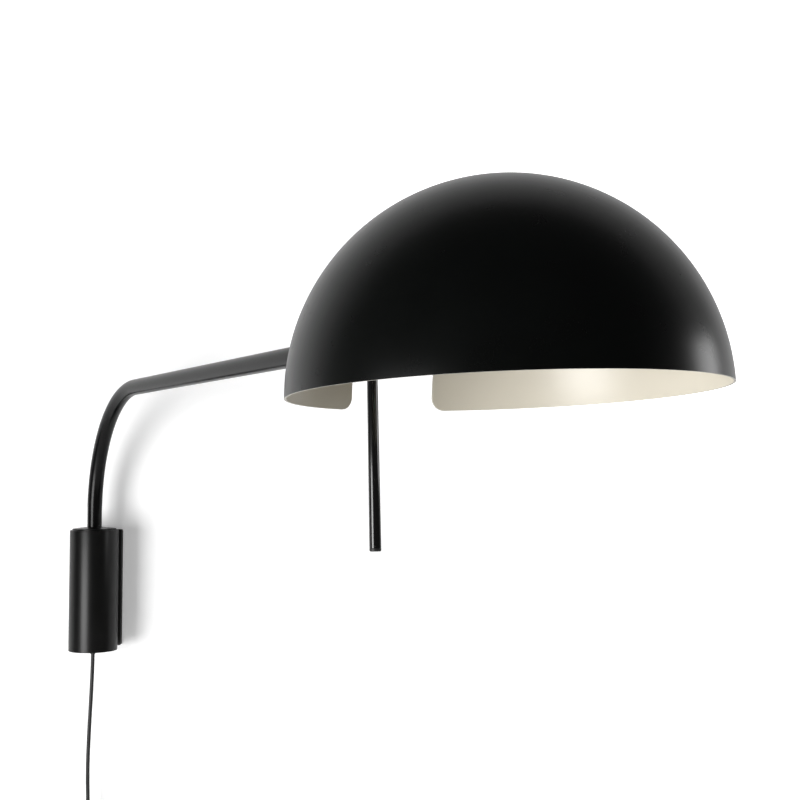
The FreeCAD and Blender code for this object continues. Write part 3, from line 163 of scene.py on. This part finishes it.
holder_black = (Paint("holder_black", (0.016, 0.016, 0.016), 0.25, 0.5)
                .wear(90, 0.04).grain(800, 0.008).mottle(50, 0.15).mat)
sheath = (Paint("cord_sheath", (0.012, 0.012, 0.012), 0.46, 0.4)
          .wear(200, 0.08).grain(1200, 0.03).mottle(90, 0.25).mat)
plated = (Paint("plated_steel", (0.55, 0.55, 0.54), 0.30, 0.5, 1.0)
          .wear(300, 0.08, (1, 1, 6)).grain(900, 0.006).mottle(120, 0.08).mat)
alloy = (Paint("turned_alloy", (0.62, 0.62, 0.63), 0.36, 0.5, 1.0)
         .wear(250, 0.07, (1, 1, 9)).grain(500, 0.01, (1, 1, 8)).mottle(90, 0.05).mat)
bronze = (Paint("sintered_bronze", (0.50, 0.33, 0.13), 0.50, 0.5, 1.0)
          .wear(300, 0.10).grain(1600, 0.03).mottle(260, 0.15).mat)
nylon = (Paint("nylon", (0.72, 0.72, 0.66), 0.45, 0.45)
         .wear(150, 0.06).grain(900, 0.01).mottle(80, 0.03).mat)
opal_paint = (Paint("opal_glass", (0.86, 0.85, 0.81), 0.14, 0.5, coat=0.3, coat_rough=0.05)
              .wear(30, 0.03).grain(120, 0.004).mottle(25, 0.02))
opal_paint.set("Subsurface Weight", 0.25)
opal_paint.set("Subsurface Scale", 0.004)
opal = opal_paint.mat


# ---------------------------------------------------------------- mesh helpers, in millimetres
STRAIGHT = math.radians(172)                     # a corner flatter than this isn't rounded


def smooth_edges(mesh, degrees):
    """Smooth faces, with a sharp edge wherever two faces meet at more than the angle."""
    for polygon in mesh.polygons:
        polygon.use_smooth = True
    mesh.set_sharp_from_angle(angle=math.radians(degrees))


def linked(name, data):
    """An object of the scene round a mesh, a curve or a light."""
    made = bpy.data.objects.new(name, data)
    scene.collection.objects.link(made)
    return made


def to_mesh(shape, name):
    """The bmesh as a mesh of its own; the bmesh is freed."""
    mesh = bpy.data.meshes.new(name)
    shape.to_mesh(mesh)
    shape.free()
    return mesh


def bridge(shape, a, b):
    """Quads between two closed rings with equally many points."""
    for k in range(len(a)):
        j = (k + 1) % len(a)
        shape.faces.new((a[k], a[j], b[j], b[k]))


def piece(name, shape, matrix, body, material, replaced, degrees=32):
    """An object from a bmesh in a local millimetre frame, riding on a body."""
    shape.transform(Matrix.Scale(MM, 4) @ matrix)
    bmesh.ops.recalc_face_normals(shape, faces=shape.faces[:])
    mesh = to_mesh(shape, name)
    mesh.materials.append(material)
    smooth_edges(mesh, degrees)
    made = linked(name, mesh)
    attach(made, body)
    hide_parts(*replaced)


def eased(points, radius, steps=4):
    """Round the corners of a (radius, height) outline; corners on the axis stay."""
    out = []
    for i, point in enumerate(points):
        here = Vector(point)
        before, after = Vector(points[i - 1]), Vector(points[(i + 1) % len(points)])
        a, b = before - here, after - here
        on_axis = here.x < 1e-9 or a.length < 1e-9 or b.length < 1e-9
        if on_axis or a.angle(b) > STRAIGHT:
            out.append(here)
            continue
        angle = a.angle(b)
        reach = min(radius / math.tan(angle / 2), 0.45 * a.length, 0.45 * b.length)
        start, stop = here + a.normalized() * reach, here + b.normalized() * reach
        for k in range(steps + 1):
            t = k / steps
            out.append(start * (1 - t) ** 2 + here * 2 * t * (1 - t) + stop * t ** 2)
    return out


def lathe(points, around=96, edge=0.4):
    """Closed (radius, height) outline turned about local Z."""
    outline = eased(points, edge)
    shape = bmesh.new()
    rings = []
    for p in outline:
        if p.x < 1e-6:
            rings.append([shape.verts.new((0, 0, p.y))])
        else:
            rings.append([shape.verts.new((p.x * math.cos(2 * math.pi * k / around),
                                           p.x * math.sin(2 * math.pi * k / around), p.y))
                          for k in range(around)])
    for i, ring in enumerate(rings):
        following = rings[(i + 1) % len(rings)]
        if len(ring) == 1 and len(following) == 1:
            continue
        for k in range(around):
            j = (k + 1) % around
            if len(ring) == 1:
                shape.faces.new((ring[0], following[j], following[k]))
            elif len(following) == 1:
                shape.faces.new((ring[k], ring[j], following[0]))
            else:
                shape.faces.new((ring[k], ring[j], following[j], following[k]))
    return shape


def ring_outline(outer, inner, low, high):
    """Outline of a plain tube."""
    return [(inner, low), (outer, low), (outer, high), (inner, high)]


def smoothstep(value, low, high):
    """0 below low, 1 above high, with a soft change between them."""
    t = min(1.0, max(0.0, (value - low) / (high - low)))
    return t * t * (3 - 2 * t)


# ---------------------------------------------------------------- wall bracket
def bracket_pieces():
    """The visible cylinder and the tray-shaped plate against the wall."""
    sleeve_radius, sleeve_wall = 31.2, 2.0
    sleeve = ring_outline(sleeve_radius, sleeve_radius - sleeve_wall, -SLEEVE_HALF, SLEEVE_HALF)
    piece("sleeve_turned", lathe(sleeve, 160, 0.5), BRACKET,
          "bracket", black_paint, ["bracket_sleeve"])

    half_width, half_height, depth, skin, corner, ease = 28.0, 77.2, 8.0, 1.6, 2.5, 0.7
    quarter_steps, sharp = 6, 0.05
    shape = bmesh.new()

    def loop(inset, y, radius):
        """Round-cornered rectangle about the plate's middle, at a depth y."""
        ring = []
        r = max(radius, sharp)
        for cx, cz, first in ((1, 1, 0), (-1, 1, 90), (-1, -1, 180), (1, -1, 270)):
            for k in range(quarter_steps + 1):
                a = math.radians(first + 90 / quarter_steps * k)
                ring.append(shape.verts.new((cx * (half_width - inset - r) + r * math.cos(a), y,
                                             cz * (half_height - inset - r) + r * math.sin(a))))
        return ring

    loops = [loop(skin, 0.0, corner - skin), loop(0, 0.0, corner)]
    loops += [loop(ease * (1 - math.cos(t)), -depth + ease * (1 - math.sin(t)), corner)
              for t in (0, math.pi / 8, math.pi / 4, 3 * math.pi / 8, math.pi / 2)]
    inner = loop(skin, -depth + skin, corner - skin)
    for a, b in zip(loops[:-1], loops[1:]):
        bridge(shape, a, b)
    shape.faces.new(loops[-1])
    bridge(shape, loops[0], inner)
    shape.faces.new(inner)
    # the plate takes the lighter black, with painted light in its colour
    piece("plate_tray", shape, Matrix.Identity(4), "bracket", plate_black_painted_lit,
          ["wall_plate"], 40)


# ---------------------------------------------------------------- arm
def tube_stations():
    """Centre points of the arm's tube and the angle of its run from upright at each."""
    foot, run = 74.6, PIN_REACH - 13.0
    bend_foot = ARM_HEIGHT - BEND
    upright_steps, bend_steps, run_steps = 11, 72, 24
    stations = [(Vector((0, 0, foot + (bend_foot - foot) * k / upright_steps)), 0.0)
                for k in range(upright_steps + 1)]
    for k in range(1, bend_steps + 1):
        a = math.pi / 2 * k / bend_steps
        stations.append((Vector((BEND - BEND * math.cos(a), 0, bend_foot + BEND * math.sin(a))), a))
    stations += [(Vector((BEND + (run - BEND) * k / run_steps, 0, ARM_HEIGHT)), math.pi / 2)
                 for k in range(1, run_steps + 1)]
    return stations


def arm_tube():
    """Tube swept along the upright, the quarter bend and the level run, open at both ends."""
    stations = tube_stations()
    ends = (0, len(stations) - 1)
    around, end_ease = 64, 0.35
    neck_top, full_at = 99.0, 115.0              # heights between which the neck widens
    turns = [2 * math.pi * k / around for k in range(around)]
    across = Vector((0, 1, 0))
    shape = bmesh.new()
    skins = []
    for inside in (False, True):
        rings = []
        for i, (middle, angle) in enumerate(stations):
            widening = (TUBE_RADIUS - TUBE_NECK_RADIUS) * smoothstep(middle.z, neck_top, full_at)
            radius = TUBE_BORE if inside else TUBE_NECK_RADIUS + widening
            if not inside and i in ends:
                radius -= end_ease
            side = Vector((math.cos(angle), 0, -math.sin(angle)))
            spokes = [side * math.cos(t) + across * math.sin(t) for t in turns]
            rings.append([shape.verts.new(middle + radius * spoke) for spoke in spokes])
        skins.append(rings)
    for rings in skins:
        for a, b in zip(rings[:-1], rings[1:]):
            bridge(shape, a, b)
    for end in ends:
        bridge(shape, skins[0][end], skins[1][end])
    piece("arm_tube_bent", shape, ARM, "arm", tube_black, ["arm_tube"])


def arm_pieces():
    """Cap at the tube's foot, and the handle's tapered rod with its end cap."""
    hole, step_radius, skirt_bore, skirt_radius = 9.3, 12.0, 25.7, 28.1
    foot, lip, crown_rise, skin, inner_rise = 74.9, 80.0, 2.2, 2.4, 1.3
    cap = [(hole, foot), (step_radius, foot), (step_radius, lip - skin + inner_rise),
           (skirt_bore, lip - skin), (skirt_bore, foot), (skirt_radius, foot), (skirt_radius, lip),
           (hole, lip + crown_rise)]
    piece("top_cap_cone", lathe(cap, 160, 0.5), ARM, "arm", black_paint, ["top_cap"])

    rod_top, rod_end, rod_foot, top_radius, foot_radius = -15.5, -165.4, -168.0, 4.35, 4.8
    socket_radius, socket_top = 2.05, -25.5
    rod = [(0, rod_end), (foot_radius, rod_end), (top_radius, rod_top), (socket_radius, rod_top),
           (socket_radius, socket_top), (0, socket_top)]
    piece("handle_rod_turned", lathe(rod, 64, 0.3), HANDLE, "arm", gloss_black,
          ["handle_rod"])

    seam, ease = 0.05, 0.6
    end = [(0, rod_foot), (foot_radius - ease, rod_foot), (foot_radius, rod_foot + ease),
           (foot_radius, rod_end - seam), (0, rod_end - seam)]
    piece("handle_cap_turned", lathe(end, 64, 0.3), HANDLE, "arm", moulded,
          ["handle_end_cap"])


# ---------------------------------------------------------------- head
DOME_RADIUS, DOME_BORE, DOME_RIM = 150.0, 148.5, 2.9
DOME_AROUND, DOME_UP = 288, 96


def dome_blank():
    """Dome with an inner and an outer skin, open at the rim."""
    shape = bmesh.new()
    rims = []
    for radius in (DOME_RADIUS, DOME_BORE):
        low = math.asin(DOME_RIM / radius)
        rings = []
        for i in range(DOME_UP):
            a = low + (math.pi / 2 - low) * i / DOME_UP
            flat = radius * math.cos(a)
            rings.append([shape.verts.new((flat * math.cos(2 * math.pi * k / DOME_AROUND),
                                           flat * math.sin(2 * math.pi * k / DOME_AROUND),
                                           radius * math.sin(a))) for k in range(DOME_AROUND)])
        pole = shape.verts.new((0, 0, radius))
        for a, b in zip(rings[:-1], rings[1:]):
            bridge(shape, a, b)
        top = rings[-1]
        for k in range(DOME_AROUND):
            shape.faces.new((top[k], top[(k + 1) % DOME_AROUND], pole))
        rims.append(rings[0])
    bridge(shape, rims[0], rims[1])
    bmesh.ops.recalc_face_normals(shape, faces=shape.faces[:])
    return linked("dome_blank", to_mesh(shape, "dome_blank"))


def slot_tool():
    """Prism with the slot's outline, which leaves round corners in the rim and at the top."""
    half, crown, big, small = 37.0, 88.0, 26.0, 10.0
    clear, below, near_x, far_x, steps = 4.0, -6.0, -40, -170, 24
    edge = half + small + clear
    outline = [(edge, below), (edge, DOME_RIM)]

    def corner(cy, cz, radius, first, last):
        for k in range(steps + 1):
            a = math.radians(first + (last - first) * k / steps)
            outline.append((cy + radius * math.cos(a), cz + radius * math.sin(a)))

    corner(half + small, DOME_RIM + small, small, 270, 180)
    corner(half - big, crown - big, big, 0, 90)
    corner(-(half - big), crown - big, big, 90, 180)
    corner(-(half + small), DOME_RIM + small, small, 360, 270)
    outline += [(-edge, DOME_RIM), (-edge, below)]
    shape = bmesh.new()
    near = [shape.verts.new((near_x, y, z)) for y, z in outline]
    far = [shape.verts.new((far_x, y, z)) for y, z in outline]
    bridge(shape, near, far)
    shape.faces.new(near)
    shape.faces.new(far[::-1])
    bmesh.ops.recalc_face_normals(shape, faces=shape.faces[:])
    return linked("slot_tool", to_mesh(shape, "slot_tool"))


def shade():
    """Spun dome with its slot cut out, each skin shaded as a true sphere."""
    blank, tool = dome_blank(), slot_tool()
    cut = blank.modifiers.new("slot", "BOOLEAN")
    cut.operation, cut.solver, cut.object = "DIFFERENCE", "EXACT", tool
    bpy.context.view_layer.update()
    evaluated = blank.evaluated_get(bpy.context.evaluated_depsgraph_get())
    result = bpy.data.meshes.new_from_object(evaluated)
    for each in (blank, tool):
        bpy.data.objects.remove(each)

    weld, sliver, slack = 0.002, 0.001, 0.3
    shape = bmesh.new()
    shape.from_mesh(result)
    bmesh.ops.remove_doubles(shape, verts=shape.verts[:], dist=weld)
    bmesh.ops.dissolve_degenerate(shape, edges=shape.edges[:], dist=sliver)
    shape.to_mesh(result)
    shape.free()
    result.name = "shade_spun"
    for each in (shade_black, cream_paint, rim_paint):
        result.materials.append(each)
    normals = []
    turned = SHADE.to_3x3()
    for polygon in result.polygons:
        lengths = [result.vertices[v].co.length for v in polygon.vertices]
        polygon.use_smooth = True
        if min(lengths) > DOME_RADIUS - slack:
            polygon.material_index, facing = 0, 1
        elif max(lengths) < DOME_BORE + slack:
            polygon.material_index, facing = 1, -1
        else:
            polygon.material_index, facing = 2, 0
        for v in polygon.vertices:
            radial = result.vertices[v].co.normalized() * facing
            normals.append(turned @ (radial if facing else polygon.normal.copy()))
    result.transform(Matrix.Scale(MM, 4) @ SHADE)
    result.normals_split_custom_set(normals)
    made = linked("shade_spun", result)
    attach(made, "head")
    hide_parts("shade")


def head_pieces():
    """Moulded lampholder and blown lamp glass, turned about the lampholder's axis."""
    cup_floor, holder_length = 19.0, 46.0
    front = cup_floor + holder_length
    body_radius, lip_radius, lip_height, socket_radius, socket_floor = 19.5, 21.2, 5.0, 14.0, 14.0
    holder = [(0, cup_floor), (body_radius, cup_floor), (body_radius, front - lip_height),
              (lip_radius, front - lip_height), (lip_radius, front), (socket_radius, front),
              (socket_radius, cup_floor + socket_floor), (0, cup_floor + socket_floor)]
    piece("lampholder_moulded", lathe(holder, 96, 0.6), OUTWARD, "head",
          holder_black, ["lampholder"])

    glass_foot, length, radius, blend = front, 72.0, 30.0, math.radians(32)
    foot_radius, neck_radius, neck_height, neck_steps, globe_steps = 13.5, 14.2, 12.0, 12, 32
    middle = glass_foot + length - radius
    outline = [(0, glass_foot), (foot_radius, glass_foot)]
    start = Vector((foot_radius, glass_foot + 1.0))
    bend = Vector((neck_radius, glass_foot + neck_height))
    stop = Vector((radius * math.cos(blend), middle - radius * math.sin(blend)))
    for k in range(1, neck_steps):
        t = k / neck_steps
        p = start * (1 - t) ** 2 + bend * 2 * t * (1 - t) + stop * t ** 2
        outline.append((p.x, p.y))
    for k in range(globe_steps):
        a = -blend + (math.pi / 2 + blend) * k / globe_steps
        outline.append((radius * math.cos(a), middle + radius * math.sin(a)))
    outline.append((0.0, middle + radius))
    piece("bulb_blown", lathe(outline, 96, 0.2), OUTWARD, "head", opal,
          ["bulb_glass"], 50)


# ---------------------------------------------------------------- CAD nodes dressed as they are
def dressed(node, body, material):
    """A smooth-shaded copy of a CAD node's own mesh."""
    shape = bmesh.new()
    shape.from_mesh(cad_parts[node].data)
    bmesh.ops.remove_doubles(shape, verts=shape.verts[:], dist=1e-6)
    mesh = to_mesh(shape, node + "_smooth")
    mesh.materials.clear()
    mesh.materials.append(material)
    smooth_edges(mesh, 28)
    made = linked(node + "_smooth", mesh)
    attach(made, body)
    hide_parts(node)
    return made


def dressed_nodes():
    """Every CAD node that keeps its own shape, by name."""
    rows_of_body = {
        "bracket": (
            ("bottom_cap", "black_paint", black_paint),
            ("cord_gland", "black_plastic", moulded),
            ("gland_nut", "black_plastic", moulded),
            ("cord_tie", "black_plastic", moulded),
            ("plug_body", "black_plastic", moulded),
            ("plug_pins", "plated_steel", plated),
            ("wall_strap", "plated_steel", plated),
            ("lug_screws", "plated_steel", plated),
            ("standoff_blocks", "alloy", alloy),
            ("standoff_screws", "plated_steel", plated),
            ("bearing_housing", "alloy", alloy),
            ("upper_bush", "bronze", bronze),
            ("lower_bush", "bronze", bronze),
        ),
        "arm": (
            ("handle_collar", "black_paint", black_paint),
            ("arm_fork", "black_paint", black_paint),
            ("tilt_pin", "plated_steel", plated),
            ("tilt_nut", "plated_steel", plated),
            ("pivot_spigot", "plated_steel", plated),
            ("pivot_nut", "plated_steel", plated),
            ("upper_washer", "nylon", nylon),
            ("lower_washer", "nylon", nylon),
            ("handle_stud", "plated_steel", plated),
            ("arm_cable", "cord_rubber", sheath),
        ),
        "head": (
            ("holder_cup", "black_paint", black_paint),
            ("centre_contact", "bronze", bronze),
            ("bulb_cap", "plated_steel", plated),
            ("crown_stud", "plated_steel", plated),
            ("stud_nuts", "plated_steel", plated),
            ("shade_bridge", "plated_steel", plated),
            ("bridge_screws", "plated_steel", plated),
        ),
    }
    return {node: dressed(node, body, material)
            for body, rows in rows_of_body.items() for node, slot_name, material in rows}


# ---------------------------------------------------------------- supply cord
def cord_route():
    """Points of the cord: down from the gland, round the put-away coil and out to the plug."""
    points = [Vector(p) for p in ((0, -43, -74), (0, -43, -93), (-1.2, -42.6, -128),
                                  (-4.6, -39.6, -184), (-8, -32, -240), (-8, -24, -295),
                                  (-8, -24, -338))]
    half_turns, sweep, arc_steps = 20, 10, 18    # a sweep winds in and back out again
    widest, narrowest, pitch, layer = 33.0, 22.0, 2.75, 5.5
    last_radius = 35.75
    here, heading, inward = points[-1].copy(), Vector((0, 0, -1)), Vector((1, 0, 0))
    for index in range(half_turns):
        place = index % sweep
        if place == sweep - 1:
            radius = last_radius
        elif place < 5:
            radius = widest - pitch * place
        else:
            radius = narrowest + pitch * (place - 4)
        climb = layer if index in (4, 9, 14) else 0.0
        middle = here + inward * radius
        for k in range(1, arc_steps + 1):
            a = math.pi * k / arc_steps
            points.append(middle - inward * radius * math.cos(a) + heading * radius * math.sin(a)
                          + Vector((0, climb * k / arc_steps, 0)))
        here = here + inward * 2 * radius + Vector((0, climb, 0))
        heading, inward = -heading, -inward
    points += [here + Vector(p) for p in ((0, 0, -15.5), (0, -1.8, -37.2), (0, -1.8, -62.0))]
    return points


def supply_cord(fittings):
    """One spline along the whole route, from the gland to the plug."""
    points = cord_route()
    curve = bpy.data.curves.new("supply_cord", "CURVE")
    curve.dimensions = "3D"
    spline = curve.splines.new("NURBS")
    spline.points.add(len(points) - 1)
    for target, p in zip(spline.points, points):
        target.co = (*(p * MM), 1.0)
    spline.order_u = 3
    spline.use_endpoint_u = True
    spline.resolution_u = 4
    curve.bevel_depth = CORD_RADIUS * MM
    curve.bevel_resolution = 5
    curve.use_fill_caps = True
    curve.materials.append(sheath)
    made = linked("supply_cord", curve)
    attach(made, "bracket")
    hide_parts("mains_cord", "mains_cord_coil", "cord_tail")


bracket_pieces()
arm_tube()
arm_pieces()
shade()
head_pieces()
supply_cord(dressed_nodes())


# ---------------------------------------------------------------- wall, floor, light and camera
def maths(nodes, links, operation, first, second):
    """Output of a Math node; the second input is a socket or a number."""
    node = nodes.new("ShaderNodeMath")
    node.operation = operation
    links.new(first, node.inputs[0])
    if isinstance(second, float):
        node.inputs[1].default_value = second
    else:
        links.new(second, node.inputs[1])
    return node.outputs[0]


def backdrop(name, corners):
    """A pale sheet with its shadows kept, lifted to white for the camera, dimly for reflections."""
    mesh = bpy.data.meshes.new(name)
    mesh.from_pydata(corners, [], [(0, 1, 2, 3)])
    mat = bpy.data.materials.new(name)
    mat.use_nodes = True
    nodes, links = mat.node_tree.nodes, mat.node_tree.links
    nodes.clear()
    out = nodes.new("ShaderNodeOutputMaterial")
    diffuse = nodes.new("ShaderNodeBsdfDiffuse")
    diffuse.inputs["Color"].default_value = (*WHITE_SHEET, 1.0)
    glow = nodes.new("ShaderNodeEmission")
    glow.inputs["Color"].default_value = (1, 1, 1, 1)
    path = nodes.new("ShaderNodeLightPath")
    place = nodes.new("ShaderNodeNewGeometry")
    reach = nodes.new("ShaderNodeVectorMath")
    reach.operation = "DISTANCE"
    reach.inputs[1].default_value = (0.03, 0.0, 0.03)
    links.new(place.outputs["Position"], reach.inputs[0])
    spread = nodes.new("ShaderNodeMapRange")
    spread.interpolation_type = "SMOOTHSTEP"
    spread.inputs["From Min"].default_value = 0.22
    spread.inputs["From Max"].default_value = 0.75
    spread.inputs["To Min"].default_value = NEAR_GLOW
    spread.inputs["To Max"].default_value = FAR_GLOW
    links.new(reach.outputs["Value"], spread.inputs["Value"])
    mirrored = maths(nodes, links, "MAXIMUM", path.outputs["Is Glossy Ray"],
                     path.outputs["Is Transmission Ray"])
    dimmed = maths(nodes, links, "MULTIPLY", mirrored, MIRRORED_SHARE)
    seen = maths(nodes, links, "MAXIMUM", path.outputs["Is Camera Ray"], dimmed)
    strength = maths(nodes, links, "MULTIPLY", seen, spread.outputs["Result"])
    links.new(strength, glow.inputs["Strength"])
    lifted = nodes.new("ShaderNodeAddShader")
    links.new(diffuse.outputs[0], lifted.inputs[0])
    links.new(glow.outputs[0], lifted.inputs[1])
    clear = nodes.new("ShaderNodeBsdfTransparent")
    final = nodes.new("ShaderNodeMixShader")
    links.new(place.outputs["Backfacing"], final.inputs["Fac"])
    links.new(lifted.outputs[0], final.inputs[1])
    links.new(clear.outputs[0], final.inputs[2])
    links.new(final.outputs[0], out.inputs["Surface"])
    mesh.materials.append(mat)
    made = linked(name, mesh)


WALL_Y, FLOOR_Z = 0.0003, -0.9
backdrop("wall_sheet", [(-4, WALL_Y, FLOOR_Z), (5, WALL_Y, FLOOR_Z), (5, WALL_Y, 3.2),
                        (-4, WALL_Y, 3.2)])
backdrop("floor_sheet", [(-1.6, -2.2, FLOOR_Z), (2.2, -2.2, FLOOR_Z), (2.2, WALL_Y, FLOOR_Z),
                         (-1.6, WALL_Y, FLOOR_Z)])

world = bpy.data.worlds.new("studio")
scene.world = world
world.use_nodes = True
nodes, links = world.node_tree.nodes, world.node_tree.links
nodes.clear()
out = nodes.new("ShaderNodeOutputWorld")
ambient = nodes.new("ShaderNodeBackground")
ambient.inputs["Color"].default_value = (0.10, 0.10, 0.10, 1)
white = nodes.new("ShaderNodeBackground")
white.inputs["Color"].default_value = (1, 1, 1, 1)
path = nodes.new("ShaderNodeLightPath")
mix = nodes.new("ShaderNodeMixShader")
links.new(path.outputs["Is Camera Ray"], mix.inputs["Fac"])
links.new(ambient.outputs[0], mix.inputs[1])
links.new(white.outputs[0], mix.inputs[2])
links.new(mix.outputs[0], out.inputs["Surface"])


def softbox(name, at, aim, width, height, watts):
    """A rectangular lamp of some width and height, pointed at a place."""
    light = bpy.data.lights.new(name, "AREA")
    light.shape = "RECTANGLE"
    light.size, light.size_y, light.energy = width, height, watts
    made = linked(name, light)
    made.location = at
    made.rotation_mode = "QUATERNION"
    made.rotation_quaternion = (Vector(aim) - Vector(at)).to_track_quat("-Z", "Y")


softbox("key_low_left", (-1.02, -1.88, -0.32), (0.2, -0.4, 0.05), 1.05, 1.1, 47)
softbox("side_right", (1.75, -0.47, 0.37), (0.5, -0.75, 0.2), 0.42, 0.42, 3.6)

camera = bpy.data.cameras.new("photo_view")
camera.lens, camera.sensor_width = 54.0, 36.0
eye = linked("photo_view", camera)
eye.matrix_world = (Matrix.Translation((0.4023, -1.6289, 0.1495)) @ turn(math.radians(93.56), "X")
                    @ turn(math.radians(-0.15), "Z"))
scene.camera = eye
scene.view_settings.view_transform = "Standard"
